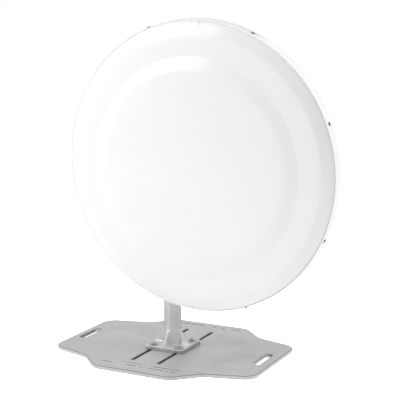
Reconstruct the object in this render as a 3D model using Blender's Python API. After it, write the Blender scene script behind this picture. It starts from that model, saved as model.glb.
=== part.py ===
"""Parabolic dish antenna of the one metre class on a carried floor stand.

The stand lies on the ground: a waisted steel base plate with two hand slots and two long
adjusting slots, a square foot flange bolted through the slots, and a gusseted steel post.
The dish hangs in front of the post and to its side: a spun reflector closed by a stepped
radome, a hub behind it, and a tilting bracket clamped round the post.

World axes: X along the plate, the dish looks along minus Y, Z up, origin on the ground
under the middle of the plate.
"""

import math

import bmesh
import bpy
from mathutils import Matrix, Vector

# General
GAP = 0.0003
ROUND_STEPS = 96
HUB_STEPS = 48
FINE_STEPS = 32
BOLT_STEPS = 20
SHANK_STEPS = 16
SCREW_STEPS = 12
HOLE_ROOM = 0.0005
CUT_EXTRA = 0.01
JOIN_LAP = 0.002
SHARP_ANGLE = math.radians(30)
MERGE_DISTANCE = 1e-6

# Base plate
PLATE_X = 0.004
PLATE_HALF_LENGTH = 0.408
PLATE_END_HALF = 0.191
PLATE_NECK_X = 0.238
PLATE_NECK_Y = 0.239
PLATE_EAR_X = 0.152
PLATE_EAR_Y = 0.3255
PLATE_THICK = 0.012
PLATE_END_RADIUS = 0.050
PLATE_NECK_RADIUS = 0.057
PLATE_EAR_RADIUS = 0.048
PLATE_CORNER_STEPS = 8
HAND_SLOT_X = 0.364
HAND_SLOT_HALF_LENGTH = 0.066
HAND_SLOT_WIDTH = 0.026
LONG_SLOT_X = 0.053
LONG_SLOT_BACK = 0.220
LONG_SLOT_FRONT = -0.215
LONG_SLOT_WIDTH = 0.013
NUT_CHANNEL_WIDTH = 0.022
NUT_CHANNEL_HEIGHT = 0.0071

# Foot flange, post and gussets
FOOT_Y = -0.005
FOOT_SIDE = 0.156
FOOT_THICK = 0.0135
FOOT_CORNER = 0.010
FOOT_CORNER_STEPS = 5
FOOT_HOLE = 0.0068
POST_RADIUS = 0.0322
POST_WALL = 0.0036
POST_TOP = 0.900
CAP_THICK = 0.004
CAP_CHAMFER = 0.003
CAP_CHAMFER_HEIGHT = 0.002
CAP_SKIRT = 0.018
CAP_SKIRT_WALL = 0.0025
GUSSET_REACH = 0.0715
GUSSET_HEIGHT = 0.052
GUSSET_TOE = 0.005
GUSSET_LAND = 0.004
GUSSET_THICK = 0.007
GUSSET_NICK = 0.005

# Foot bolts
BOLT_RADIUS = 0.006
WASHER_RADIUS = 0.0185
WASHER_THICK = 0.0025
HEAD_RADIUS = 0.0095
HEAD_HEIGHT = 0.0044
HEAD_CROWN = 0.55
HEAD_SHOULDER = 0.85
HEAD_SHOULDER_HEIGHT = 0.72
HEAD_SIDE_HEIGHT = 0.25
SOCKET_RADIUS = 0.0050
SOCKET_DEPTH = 0.0030
NUT_RADIUS = 0.01095
NUT_LOW = 0.0010

# Dish: depths are measured backward from the plane of the radome's front edge
DISH_X = 0.2389
DISH_Y = -0.2856
DISH_Z = 0.7274
DISH_TILT = math.radians(3.26)
RADOME_WALL = 0.003
RADOME_RADIUS = 0.4835
RADOME_EDGE_DEPTH = 0.0015
RADOME_LINE = (
    (0.000, -0.0500),
    (0.200, -0.0487),
    (0.400, -0.0447),
    (0.560, -0.0395),
    (0.665, -0.0350),
    (0.690, -0.0330),
    (0.765, -0.0235),
    (0.785, -0.0220),
    (0.850, -0.0200),
    (0.905, -0.0172),
    (0.925, -0.0155),
    (0.985, -0.0030),
    (1.000, RADOME_EDGE_DEPTH),
)
RADOME_SKIRT_BACK = 0.0220
RING_FRONT_RADIUS = 0.4865
RING_FRONT_LIP = 0.0013
RING_BACK = 0.0235
RING_STEP = 0.0100
RIM_RADIUS = 0.4902
RIM_BACK = 0.0384
RIM_LIP = 0.010
RIM_LIP_THICK = 0.003
REFLECTOR_RADIUS = 0.4770
REFLECTOR_FRONT = 0.0300
REFLECTOR_FOCUS = 0.344
REFLECTOR_WALL = 0.0020
REFLECTOR_LIP_FRONT = 0.0290
REFLECTOR_TURN = 0.0020
REFLECTOR_TURN_BACK = 0.0030
REFLECTOR_RINGS = 9
SCREW_COUNT = 8
SCREW_DEPTH = 0.0170
SCREW_FIRST = math.radians(20.0)
SCREW_HEAD_RADIUS = 0.0056
SCREW_HEAD_HEIGHT = 0.0038
SCREW_CROWN = 0.6
SCREW_SIDE_HEIGHT = 0.4

# Hub behind the reflector
HUB_INNER = 0.058
HUB_OUTER = 0.105
HUB_BACK = 0.2100
HUB_PLATE_RADIUS = 0.125
HUB_PLATE_THICK = 0.006
HUB_HOLE = 0.036
BOSS_RADIUS = 0.030
BOSS_CHAMFER = 0.002
BOSS_FLANGE_CORNER = 0.006
BOSS_CORNER_STEPS = 4
BOSS_BACK = 0.246
BOSS_FLANGE = 0.066
BOSS_FLANGE_THICK = 0.008
BOSS_BORE = 0.009
BOSS_BORE_DEPTH = 0.034

# Tilting bracket on the dish, in the dish's own axes
WING_X = -0.1450
BRACKET_THICK = 0.006
BRACKET_RIGHT = 0.105
BRACKET_HALF_HEIGHT = 0.085
BRACKET_BEND = 0.008
WING_BACK = 0.330
WING_CORNER = 0.030
WING_CORNER_STEPS = 8
BEND_STEPS = 5
BRACKET_HOLE = 0.046
HUB_BOLT_PLACE = 0.068
HUB_BOLT_RADIUS = 0.004
HUB_BOLT_HEAD = 0.0075
HUB_BOLT_HEAD_HEIGHT = 0.0053
HUB_BOLT_END = 0.2030
HUB_THREAD_END = 0.2015
PIVOT_DEPTH = 0.270
PIVOT_LOW = -0.045
LOCK_RADIUS = 0.085
LOCK_SWING = math.radians(14)
LOCK_STEPS = 10
LOCK_END_STEPS = 6
LOCK_SLOT_ROOM = 0.0006
PIVOT_BOLT_RADIUS = 0.005
PIVOT_HEAD_RADIUS = 0.0095
PIVOT_HEAD_HEIGHT = 0.0064
PIVOT_WASHER_RADIUS = 0.0125
PIVOT_WASHER_THICK = 0.0018
PIVOT_THREAD_END = 0.004
WASHER_LAP = 0.001

# Post bracket and its clamps
WEB_FRONT = -0.0580
WEB_LEFT = -0.068
POST_WING_BACK = 0.046
POST_BRACKET_Z = 0.742
POST_BRACKET_HALF_HEIGHT = 0.098
CLAMP_OFFSET_Z = 0.070
JAW_HALF_WIDTH = 0.063
JAW_HALF_HEIGHT = 0.019
FRONT_JAW_BACK = -0.017
REAR_JAW_FRONT = 0.007
REAR_JAW_BACK = 0.037
JAW_CORNER = 0.004
JAW_CORNER_STEPS = 3
JAW_CLEAR = 0.0003
ROD_X = 0.0475
ROD_RADIUS = 0.0049
ROD_FRONT = -0.0705
ROD_BACK = 0.0560
ROD_NUT_RADIUS = 0.0095
ROD_NUT_HEIGHT = 0.0080

# Derived
FLANGE_LOW = PLATE_THICK + GAP
FLANGE_TOP = FLANGE_LOW + FOOT_THICK
HUB_PLATE_FRONT = HUB_BACK + GAP
HUB_PLATE_BACK = HUB_PLATE_FRONT + HUB_PLATE_THICK
BRACKET_FRONT = HUB_PLATE_BACK + GAP
BRACKET_BACK = BRACKET_FRONT + BRACKET_THICK
DISH_FRAME = Matrix.Translation((DISH_X, DISH_Y, DISH_Z)) @ Matrix.Rotation(DISH_TILT, 4, "X")
POST_WING_RIGHT = DISH_X + WING_X - GAP
POST_WING_LEFT = POST_WING_RIGHT - BRACKET_THICK
WEB_BACK = WEB_FRONT + BRACKET_THICK
HUB_CUT_FRONT = HUB_PLATE_FRONT - CUT_EXTRA
HUB_CUT_BACK = BRACKET_BACK + CUT_EXTRA
RING_BACK_RADIUS = RIM_RADIUS - 2 * GAP


def clear_scene():
    """Remove what the scene starts with."""
    for obj in list(bpy.data.objects):
        bpy.data.objects.remove(obj, do_unlink=True)


def principled(name, color, roughness, metallic):
    """A plain material with one colour, roughness and metallic value."""
    made = bpy.data.materials.new(name)
    made.use_nodes = True
    shader = made.node_tree.nodes["Principled BSDF"]
    shader.inputs["Base Color"].default_value = (*color, 1.0)
    shader.inputs["Roughness"].default_value = roughness
    shader.inputs["Metallic"].default_value = metallic
    return made


def finish(name, bm, look, frame=None):
    """Turn a bmesh into a named object with outward faces, one material and smooth round sides."""
    if frame is not None:
        bm.transform(frame)
    bm.normal_update()
    bmesh.ops.recalc_face_normals(bm, faces=bm.faces)
    mesh = bpy.data.meshes.new(name)
    bm.to_mesh(mesh)
    bm.free()
    obj = bpy.data.objects.new(name, mesh)
    bpy.context.scene.collection.objects.link(obj)
    mesh.materials.append(look)
    mesh.shade_smooth()
    mesh.set_sharp_from_angle(angle=SHARP_ANGLE)
    return obj


def rounded(corners, steps):
    """Replace each (x, y, radius) corner of a closed outline by an arc of that radius."""
    points = []
    count = len(corners)
    for i, (x, y, radius) in enumerate(corners):
        here = Vector((x, y))
        before = (Vector(corners[i - 1][:2]) - here).normalized()
        after = (Vector(corners[(i + 1) % count][:2]) - here).normalized()
        if radius <= 0:
            points.append(here)
            continue
        half = before.angle(after) / 2
        middle = here + (before + after).normalized() * (radius / math.sin(half))
        start = here + before * (radius / math.tan(half)) - middle
        end = here + after * (radius / math.tan(half)) - middle
        turn = start.angle_signed(end)
        for k in range(steps + 1):
            points.append(middle + Matrix.Rotation(-turn * k / steps, 2) @ start)
    return points


def prism(outline, low, high):
    """A bmesh prism: the outline in X and Y, from height low to height high."""
    bm = bmesh.new()
    face = bm.faces.new([bm.verts.new((x, y, low)) for x, y in outline])
    pulled = bmesh.ops.extrude_face_region(bm, geom=[face])
    top = [v for v in pulled["geom"] if isinstance(v, bmesh.types.BMVert)]
    bmesh.ops.translate(bm, verts=top, vec=(0, 0, high - low))
    return bm


def slot_outline(middle, half_length, width):
    """A round-ended slot outline about a middle point, its long way along Y."""
    radius = width / 2
    points = []
    for side, start in ((1, -math.pi / 2), (-1, math.pi / 2)):
        for k in range(PLATE_CORNER_STEPS + 1):
            angle = start + math.pi * k / PLATE_CORNER_STEPS
            far = side * (half_length - radius) + radius * math.cos(angle)
            points.append((middle[0] - radius * math.sin(angle), middle[1] + far))
    return points


def circle(middle, radius, steps, turn=0.0):
    """Points of a circle or a regular polygon in X and Y."""
    return [
        (
            middle[0] + radius * math.cos(turn + 2 * math.pi * k / steps),
            middle[1] + radius * math.sin(turn + 2 * math.pi * k / steps),
        )
        for k in range(steps)
    ]


def turned(profile, steps, closed):
    """Spin a (radius, depth) profile about the depth axis, which is Y."""
    bm = bmesh.new()
    verts = [bm.verts.new((radius, depth, 0)) for radius, depth in profile]
    edges = [bm.edges.new(pair) for pair in zip(verts, verts[1:])]
    if closed:
        edges.append(bm.edges.new((verts[-1], verts[0])))
    bmesh.ops.spin(
        bm,
        geom=verts + edges,
        cent=(0, 0, 0),
        axis=(0, 1, 0),
        angle=2 * math.pi,
        steps=steps,
        use_merge=True,
    )
    bmesh.ops.remove_doubles(bm, verts=bm.verts, dist=MERGE_DISTANCE)
    return bm


def cut(target, cutters, operation="DIFFERENCE"):
    """Cut the cutters from the target, or join them to it, with exact Booleans."""
    for cutter in cutters:
        cutter.hide_render = True
        cutter.display_type = "WIRE"
        change = target.modifiers.new(cutter.name, "BOOLEAN")
        change.operation = operation
        change.solver = "EXACT"
        change.object = cutter


def along_y():
    """The frame that lays a prism's height along Y, its X kept and its outline's Y turned to Z."""
    return Matrix(((1, 0, 0, 0), (0, 0, 1, 0), (0, 1, 0, 0), (0, 0, 0, 1)))


def along_x():
    """The frame that lays a prism's height along X, its outline's X to Y and its Y to Z."""
    return Matrix(((0, 0, 1, 0), (1, 0, 0, 0), (0, 1, 0, 0), (0, 0, 0, 1)))


def build_base_plate(look):
    """The waisted plate with its hand slots, adjusting slots and nut channels."""
    quarter = [
        (PLATE_HALF_LENGTH, PLATE_END_HALF, PLATE_END_RADIUS),
        (PLATE_NECK_X, PLATE_NECK_Y, PLATE_NECK_RADIUS),
        (PLATE_EAR_X, PLATE_EAR_Y, PLATE_EAR_RADIUS),
    ]
    corners = list(quarter)
    corners += [(-x, y, r) for x, y, r in reversed(quarter)]
    corners += [(-x, -y, r) for x, y, r in quarter]
    corners += [(x, -y, r) for x, y, r in reversed(quarter)]
    corners = [(PLATE_X + x, y, r) for x, y, r in corners]
    body = prism(rounded(corners, PLATE_CORNER_STEPS), 0, PLATE_THICK)
    plate = finish("base_plate", body, look)
    low = -CUT_EXTRA
    high = PLATE_THICK + CUT_EXTRA
    half = (LONG_SLOT_BACK - LONG_SLOT_FRONT) / 2
    wider = half + (NUT_CHANNEL_WIDTH - LONG_SLOT_WIDTH) / 2
    cutters = []
    for side, place in (("left", -1), ("right", 1)):
        hand = slot_outline((place * HAND_SLOT_X, 0), HAND_SLOT_HALF_LENGTH, HAND_SLOT_WIDTH)
        cutters.append(finish(f"cut_hand_{side}", prism(hand, low, high), look))
        middle = (place * LONG_SLOT_X, (LONG_SLOT_BACK + LONG_SLOT_FRONT) / 2)
        slot = slot_outline(middle, half, LONG_SLOT_WIDTH)
        cutters.append(finish(f"cut_slot_{side}", prism(slot, low, high), look))
        channel = slot_outline(middle, wider, NUT_CHANNEL_WIDTH)
        cutters.append(finish(f"cut_channel_{side}", prism(channel, low, NUT_CHANNEL_HEIGHT), look))
    cut(plate, cutters)


def build_foot(steel, zinc):
    """The square foot flange, the post, its cap, four gussets and four foot bolts."""
    half = FOOT_SIDE / 2
    square = [(half, half), (-half, half), (-half, -half), (half, -half)]
    outline = [(x, y + FOOT_Y, FOOT_CORNER) for x, y in square]
    body = prism(rounded(outline, FOOT_CORNER_STEPS), FLANGE_LOW, FLANGE_TOP)
    flange = finish("foot_flange", body, steel)
    places = []
    for row, y in (("front", -1), ("back", 1)):
        for side, x in (("left", -1), ("right", 1)):
            places.append((f"{row}_{side}", (x * LONG_SLOT_X, FOOT_Y + y * LONG_SLOT_X)))
    holes = []
    for name, place in places:
        round_hole = circle(place, FOOT_HOLE, BOLT_STEPS)
        hole = prism(round_hole, FLANGE_LOW - CUT_EXTRA, FLANGE_TOP + CUT_EXTRA)
        holes.append(finish(f"cut_foot_{name}", hole, steel))
    cut(flange, holes)
    tube = [
        (POST_RADIUS - POST_WALL, FLANGE_TOP + GAP),
        (POST_RADIUS, FLANGE_TOP + GAP),
        (POST_RADIUS, POST_TOP),
        (POST_RADIUS - POST_WALL, POST_TOP),
    ]
    upright = Matrix.Translation((0, FOOT_Y, 0)) @ Matrix.Rotation(math.pi / 2, 4, "X")
    finish("post", turned(tube, FINE_STEPS, True), steel, upright)
    seat = POST_TOP + GAP
    inner = POST_RADIUS - POST_WALL - GAP
    cap = [
        (0, seat + CAP_THICK),
        (POST_RADIUS - CAP_CHAMFER, seat + CAP_THICK),
        (POST_RADIUS, seat + CAP_THICK - CAP_CHAMFER_HEIGHT),
        (POST_RADIUS, seat),
        (inner, seat),
        (inner, seat - CAP_SKIRT),
        (inner - CAP_SKIRT_WALL, seat - CAP_SKIRT),
        (inner - CAP_SKIRT_WALL, seat),
        (0, seat),
    ]
    black = principled("black_plastic", (0.03, 0.03, 0.03), 0.5, 0.0)
    finish("post_cap", turned(cap, FINE_STEPS, False), black, upright)
    for name, turn in (("right", 0), ("back", 90), ("left", 180), ("front", 270)):
        build_gusset(f"gusset_{name}", math.radians(turn), steel)
    for name, place in places:
        build_foot_bolt(f"foot_bolt_{name}", place, zinc)


def build_gusset(name, turn, look):
    """One triangular gusset that stands on the flange against the post."""
    low = FLANGE_TOP + GAP
    root = POST_RADIUS + GAP
    outline = [
        (root + GUSSET_NICK, low),
        (GUSSET_REACH, low),
        (GUSSET_REACH, low + GUSSET_TOE),
        (root + GUSSET_LAND, low + GUSSET_HEIGHT),
        (root, low + GUSSET_HEIGHT),
        (root, low + GUSSET_NICK),
    ]
    bm = prism(outline, -GUSSET_THICK / 2, GUSSET_THICK / 2)
    stand = Matrix.Translation((0, FOOT_Y, 0)) @ Matrix.Rotation(turn, 4, "Z")
    finish(name, bm, look, stand @ Matrix.Rotation(math.pi / 2, 4, "X"))


def build_foot_bolt(name, place, look):
    """A washer, low round head with a six-sided socket, shank and the nut in its channel."""
    seat = FLANGE_TOP + GAP
    head = seat + WASHER_THICK
    top = head + HEAD_HEIGHT
    profile = [
        (0, top),
        (HEAD_RADIUS * HEAD_CROWN, top),
        (HEAD_RADIUS * HEAD_SHOULDER, head + HEAD_HEIGHT * HEAD_SHOULDER_HEIGHT),
        (HEAD_RADIUS, head + HEAD_HEIGHT * HEAD_SIDE_HEIGHT),
        (HEAD_RADIUS, head),
        (WASHER_RADIUS, head),
        (WASHER_RADIUS, seat),
        (BOLT_RADIUS, seat),
        (BOLT_RADIUS, NUT_LOW),
        (0, NUT_LOW),
    ]
    stand = Matrix.Translation((*place, 0))
    upright = stand @ Matrix.Rotation(math.pi / 2, 4, "X")
    bolt = finish(name, turned(profile, BOLT_STEPS, False), look, upright)
    nut = prism(circle((0, 0), NUT_RADIUS, 6, math.pi / 6), NUT_LOW, NUT_CHANNEL_HEIGHT - GAP)
    cut(bolt, [finish(f"join_nut_{name}", nut, look, stand)], "UNION")
    socket = prism(circle((0, 0), SOCKET_RADIUS, 6), top - SOCKET_DEPTH, top + CUT_EXTRA)
    cut(bolt, [finish(f"cut_socket_{name}", socket, look, stand)])


def radome_line():
    """The outer line of the radome from its middle to its front edge, as radius and depth."""
    return [(RADOME_RADIUS * share, depth) for share, depth in RADOME_LINE]


def build_radome(look):
    """The stepped radome shell, its edge turned back into a short skirt inside the ring."""
    outer = radome_line()
    inner = []
    for i, (radius, depth) in enumerate(outer[:-1]):
        if i == 0:
            inner.append((0.0, depth + RADOME_WALL))
            continue
        before = Vector(outer[i - 1])
        after = Vector(outer[i + 1])
        run = (after - before).normalized()
        inner.append((radius - run.y * RADOME_WALL, depth + run.x * RADOME_WALL))
    skirt_in = RADOME_RADIUS - RADOME_WALL
    line = outer + [(RADOME_RADIUS, RADOME_SKIRT_BACK), (skirt_in, RADOME_SKIRT_BACK)]
    line.append((skirt_in, RADOME_EDGE_DEPTH + RADOME_WALL))
    line += list(reversed(inner))
    finish("radome", turned(line, ROUND_STEPS, False), look, DISH_FRAME)


def build_rim_ring(look):
    """The white ring round the radome, with a narrow groove between it and the radome's edge."""
    inner = RADOME_RADIUS + GAP
    groove = RING_FRONT_RADIUS - RING_FRONT_LIP
    line = [
        (groove, 0),
        (RING_FRONT_RADIUS, 0),
        (RING_BACK_RADIUS, RING_BACK),
        (inner, RING_BACK),
        (inner, RING_STEP),
        (groove, RING_STEP),
    ]
    finish("rim_ring", turned(line, ROUND_STEPS, True), look, DISH_FRAME)


def reflector_depth(radius):
    """Depth of the reflector's front face at a radius."""
    deepest = REFLECTOR_FRONT + REFLECTOR_RADIUS**2 / (4 * REFLECTOR_FOCUS)
    return deepest - radius**2 / (4 * REFLECTOR_FOCUS)


def build_reflector(look):
    """The spun reflector with its outward flange, and the rim band behind the radome."""
    front = []
    back = []
    for k in range(REFLECTOR_RINGS + 1):
        radius = REFLECTOR_RADIUS * k / REFLECTOR_RINGS
        slope = radius / (2 * REFLECTOR_FOCUS)
        size = math.hypot(1, slope)
        depth = reflector_depth(radius)
        front.append((radius, depth))
        back.append((radius + REFLECTOR_WALL * slope / size, depth + REFLECTOR_WALL / size))
    edge = RADOME_RADIUS
    line = list(front)
    line += [
        (REFLECTOR_RADIUS + REFLECTOR_TURN, REFLECTOR_LIP_FRONT),
        (edge - REFLECTOR_WALL, REFLECTOR_LIP_FRONT),
        (edge - REFLECTOR_WALL, RADOME_SKIRT_BACK + GAP),
        (edge, RADOME_SKIRT_BACK + GAP),
        (edge, REFLECTOR_FRONT + REFLECTOR_WALL),
        (REFLECTOR_RADIUS + REFLECTOR_TURN_BACK, REFLECTOR_FRONT + REFLECTOR_WALL),
    ]
    line += list(reversed(back[:-1]))
    finish("reflector", turned(line, ROUND_STEPS, False), look, DISH_FRAME)
    band_front = RING_BACK + 2 * GAP
    band_in = edge + GAP
    band = [
        (band_in, band_front),
        (RIM_RADIUS, band_front),
        (RIM_RADIUS, RIM_BACK),
        (RIM_RADIUS - RIM_LIP, RIM_BACK),
        (RIM_RADIUS - RIM_LIP, RIM_BACK - RIM_LIP_THICK),
        (band_in, RIM_BACK - RIM_LIP_THICK),
    ]
    finish("rim_band", turned(band, ROUND_STEPS, True), look, DISH_FRAME)


def build_rim_screws(look):
    """Eight screws that go inward through the ring, square to its slope."""
    slope = (RING_BACK_RADIUS - RING_FRONT_RADIUS) / RING_BACK
    face = RING_FRONT_RADIUS + slope * SCREW_DEPTH
    for k in range(SCREW_COUNT):
        angle = SCREW_FIRST + 2 * math.pi * k / SCREW_COUNT
        out = Matrix.Rotation(-angle, 4, "Y") @ Matrix.Translation((face, SCREW_DEPTH, 0))
        lay = out @ Matrix.Rotation(-math.pi / 2 - math.atan(slope), 4, "Z")
        head = [
            (0, SCREW_HEAD_HEIGHT),
            (SCREW_HEAD_RADIUS * SCREW_CROWN, SCREW_HEAD_HEIGHT),
            (SCREW_HEAD_RADIUS, SCREW_HEAD_HEIGHT * SCREW_SIDE_HEIGHT),
            (SCREW_HEAD_RADIUS, GAP),
            (0, GAP),
        ]
        finish(f"rim_screw_{k + 1}", turned(head, SCREW_STEPS, False), look, DISH_FRAME @ lay)


def build_hub(cast, zinc):
    """The hub ring on the reflector's back, the hub plate and the feed boss."""
    def back_face(radius):
        slope = radius / (2 * REFLECTOR_FOCUS)
        return reflector_depth(radius) + REFLECTOR_WALL * math.hypot(1, slope)

    ring = [
        (HUB_INNER, back_face(HUB_INNER) + GAP),
        (HUB_OUTER, back_face(HUB_OUTER) + GAP),
        (HUB_OUTER, HUB_BACK),
        (HUB_INNER, HUB_BACK),
    ]
    body = finish("hub_ring", turned(ring, HUB_STEPS, True), cast, DISH_FRAME)
    cutters = []
    for name, x, z in hub_bolt_places():
        hole = prism(hub_bolt_hole(x, z), HUB_THREAD_END, HUB_CUT_BACK)
        cutters.append(finish(f"cut_ring_{name}", hole, cast, DISH_FRAME @ along_y()))
    cut(body, cutters)
    face = prism(circle((0, 0), HUB_PLATE_RADIUS, HUB_STEPS), HUB_PLATE_FRONT, HUB_PLATE_BACK)
    plate = finish("hub_plate", face, cast, DISH_FRAME @ along_y())
    hole = prism(circle((0, 0), HUB_HOLE, FINE_STEPS), HUB_CUT_FRONT, HUB_CUT_BACK)
    cutters = [finish("cut_hub_hole", hole, cast, DISH_FRAME @ along_y())]
    for name, x, z in hub_bolt_places():
        hole = prism(hub_bolt_hole(x, z), HUB_CUT_FRONT, HUB_CUT_BACK)
        cutters.append(finish(f"cut_plate_{name}", hole, cast, DISH_FRAME @ along_y()))
    cut(plate, cutters)
    boss_front = reflector_depth(0) + REFLECTOR_WALL + GAP
    boss = [
        (0, boss_front),
        (BOSS_RADIUS - BOSS_CHAMFER, boss_front),
        (BOSS_RADIUS, boss_front + BOSS_CHAMFER),
        (BOSS_RADIUS, BOSS_BACK - BOSS_FLANGE_THICK / 2),
        (0, BOSS_BACK - BOSS_FLANGE_THICK / 2),
    ]
    body = finish("feed_boss", turned(boss, FINE_STEPS, False), cast, DISH_FRAME)
    side = BOSS_FLANGE / 2
    corners = [(side, side), (-side, side), (-side, -side), (side, -side)]
    square = rounded([(x, z, BOSS_FLANGE_CORNER) for x, z in corners], BOSS_CORNER_STEPS)
    flange = prism(square, BOSS_BACK - BOSS_FLANGE_THICK, BOSS_BACK)
    cut(body, [finish("join_boss_flange", flange, cast, DISH_FRAME @ along_y())], "UNION")
    mouth = circle((0, 0), BOSS_BORE, BOLT_STEPS)
    bore = prism(mouth, BOSS_BACK - BOSS_BORE_DEPTH, BOSS_BACK + CUT_EXTRA)
    cut(body, [finish("cut_boss_bore", bore, cast, DISH_FRAME @ along_y())])
    for name, x, z in hub_bolt_places():
        build_hub_bolt(name, x, z, zinc)


def hub_bolt_places():
    """Names and places of the four hub bolts in the dish's own X and Z."""
    return [
        (f"hub_bolt_{row}_{side}", x * HUB_BOLT_PLACE, z * HUB_BOLT_PLACE)
        for row, z in (("low", -1), ("high", 1))
        for side, x in (("left", -1), ("right", 1))
    ]


def hub_bolt_hole(x, z):
    """The outline of a hub bolt's hole."""
    return circle((x, z), HUB_BOLT_RADIUS + HOLE_ROOM, BOLT_STEPS)


def build_hub_bolt(name, x, z, look):
    """A six-sided head behind the bracket with a shank through bracket and hub plate."""
    seat = BRACKET_BACK + GAP
    head = prism(circle((x, z), HUB_BOLT_HEAD, 6), seat, seat + HUB_BOLT_HEAD_HEIGHT)
    bolt = finish(name, head, look, DISH_FRAME @ along_y())
    shank = prism(circle((x, z), HUB_BOLT_RADIUS, SHANK_STEPS), HUB_BOLT_END, seat + JOIN_LAP)
    cut(bolt, [finish(f"join_shank_{name}", shank, look, DISH_FRAME @ along_y())], "UNION")


def build_tilt_bracket(steel):
    """The bracket bolted to the hub plate, with the wing that tilts on the pivot bolt."""
    thick = BRACKET_THICK
    outline = [
        (WING_X, BRACKET_FRONT, BRACKET_BEND),
        (BRACKET_RIGHT, BRACKET_FRONT, 0),
        (BRACKET_RIGHT, BRACKET_BACK, 0),
        (WING_X + thick, BRACKET_BACK, BRACKET_BEND - thick),
        (WING_X + thick, WING_BACK, 0),
        (WING_X, WING_BACK, 0),
    ]
    half = BRACKET_HALF_HEIGHT
    body = prism(rounded(outline, BEND_STEPS), -half, half)
    bracket = finish("tilt_bracket", body, steel, DISH_FRAME)
    cutters = []
    hole = prism(circle((0, 0), BRACKET_HOLE, FINE_STEPS), HUB_CUT_FRONT, HUB_CUT_BACK)
    cutters.append(finish("cut_bracket_hole", hole, steel, DISH_FRAME @ along_y()))
    for name, x, z in hub_bolt_places():
        hole = prism(hub_bolt_hole(x, z), HUB_CUT_FRONT, HUB_CUT_BACK)
        cutters.append(finish(f"cut_bracket_{name}", hole, steel, DISH_FRAME @ along_y()))
    low = WING_X - CUT_EXTRA
    high = WING_X + thick + CUT_EXTRA
    round_hole = circle((PIVOT_DEPTH, PIVOT_LOW), PIVOT_BOLT_RADIUS + HOLE_ROOM, BOLT_STEPS)
    pivot = prism(round_hole, low, high)
    cutters.append(finish("cut_bracket_pivot", pivot, steel, DISH_FRAME @ along_x()))
    lock = prism(arc_slot(PIVOT_BOLT_RADIUS + LOCK_SLOT_ROOM), low, high)
    cutters.append(finish("cut_bracket_arc", lock, steel, DISH_FRAME @ along_x()))
    for row, side in (("low", -1), ("high", 1)):
        corner = prism(wing_corner(side), low, high)
        cutters.append(finish(f"cut_bracket_corner_{row}", corner, steel, DISH_FRAME @ along_x()))
    cut(bracket, cutters)


def arc_slot(radius):
    """A curved slot about the pivot in the dish's depth and height."""
    points = []
    for side, way in ((1, 1), (-1, -1)):
        for k in range(LOCK_STEPS + 1):
            swing = -way * LOCK_SWING + way * 2 * LOCK_SWING * k / LOCK_STEPS + DISH_TILT
            reach = LOCK_RADIUS + side * radius
            points.append((PIVOT_DEPTH - reach * math.sin(swing), PIVOT_LOW + reach * math.cos(swing)))
        end = way * LOCK_SWING + DISH_TILT
        depth = PIVOT_DEPTH - LOCK_RADIUS * math.sin(end)
        height = PIVOT_LOW + LOCK_RADIUS * math.cos(end)
        for k in range(1, LOCK_END_STEPS):
            turn = end + way * math.pi / 2 + math.pi * k / LOCK_END_STEPS
            points.append((depth + radius * math.cos(turn), height + radius * math.sin(turn)))
    return points


def wing_corner(side):
    """What is cut from a back corner of the wing to round it off."""
    half = BRACKET_HALF_HEIGHT
    depth = WING_BACK - WING_CORNER
    height = side * (half - WING_CORNER)
    points = []
    for k in range(WING_CORNER_STEPS + 1):
        turn = math.pi / 2 * k / WING_CORNER_STEPS
        reach = (WING_CORNER * math.cos(turn), side * WING_CORNER * math.sin(turn))
        points.append((depth + reach[0], height + reach[1]))
    points.append((depth, side * (half + CUT_EXTRA)))
    points.append((WING_BACK + CUT_EXTRA, side * (half + CUT_EXTRA)))
    points.append((WING_BACK + CUT_EXTRA, height))
    return points


def build_post_bracket(steel):
    """The bracket that the clamps hold to the post, with its own wing beside the dish's."""
    thick = BRACKET_THICK
    outline = [
        (WEB_LEFT, WEB_FRONT, 0),
        (POST_WING_RIGHT, WEB_FRONT, BRACKET_BEND),
        (POST_WING_RIGHT, POST_WING_BACK, 0),
        (POST_WING_LEFT, POST_WING_BACK, 0),
        (POST_WING_LEFT, WEB_BACK, BRACKET_BEND - thick),
        (WEB_LEFT, WEB_BACK, 0),
    ]
    low = POST_BRACKET_Z - POST_BRACKET_HALF_HEIGHT
    high = POST_BRACKET_Z + POST_BRACKET_HALF_HEIGHT
    bracket = finish("post_bracket", prism(rounded(outline, BEND_STEPS), low, high), steel)
    cutters = []
    for row, z in clamp_rows():
        for side, x in (("left", -ROD_X), ("right", ROD_X)):
            hole = prism(rod_hole(x, z), WEB_FRONT - CUT_EXTRA, WEB_BACK + CUT_EXTRA)
            cutters.append(finish(f"cut_web_{row}_{side}", hole, steel, along_y()))
    for name, place in wing_bolt_places():
        round_hole = circle(place, PIVOT_BOLT_RADIUS + HOLE_ROOM, BOLT_STEPS)
        hole = prism(round_hole, POST_WING_LEFT - CUT_EXTRA, POST_WING_RIGHT + CUT_EXTRA)
        cutters.append(finish(f"cut_wing_{name}", hole, steel, along_x()))
    cut(bracket, cutters)


def clamp_rows():
    """Names and heights of the two clamps."""
    return [("low", POST_BRACKET_Z - CLAMP_OFFSET_Z), ("high", POST_BRACKET_Z + CLAMP_OFFSET_Z)]


def wing_bolt_places():
    """The pivot bolt and the lock bolt in world Y and Z."""
    pivot = DISH_FRAME @ Vector((0, PIVOT_DEPTH, PIVOT_LOW))
    return [
        ("pivot_bolt", (pivot.y, pivot.z)),
        ("lock_bolt", (pivot.y, pivot.z + LOCK_RADIUS)),
    ]


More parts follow.
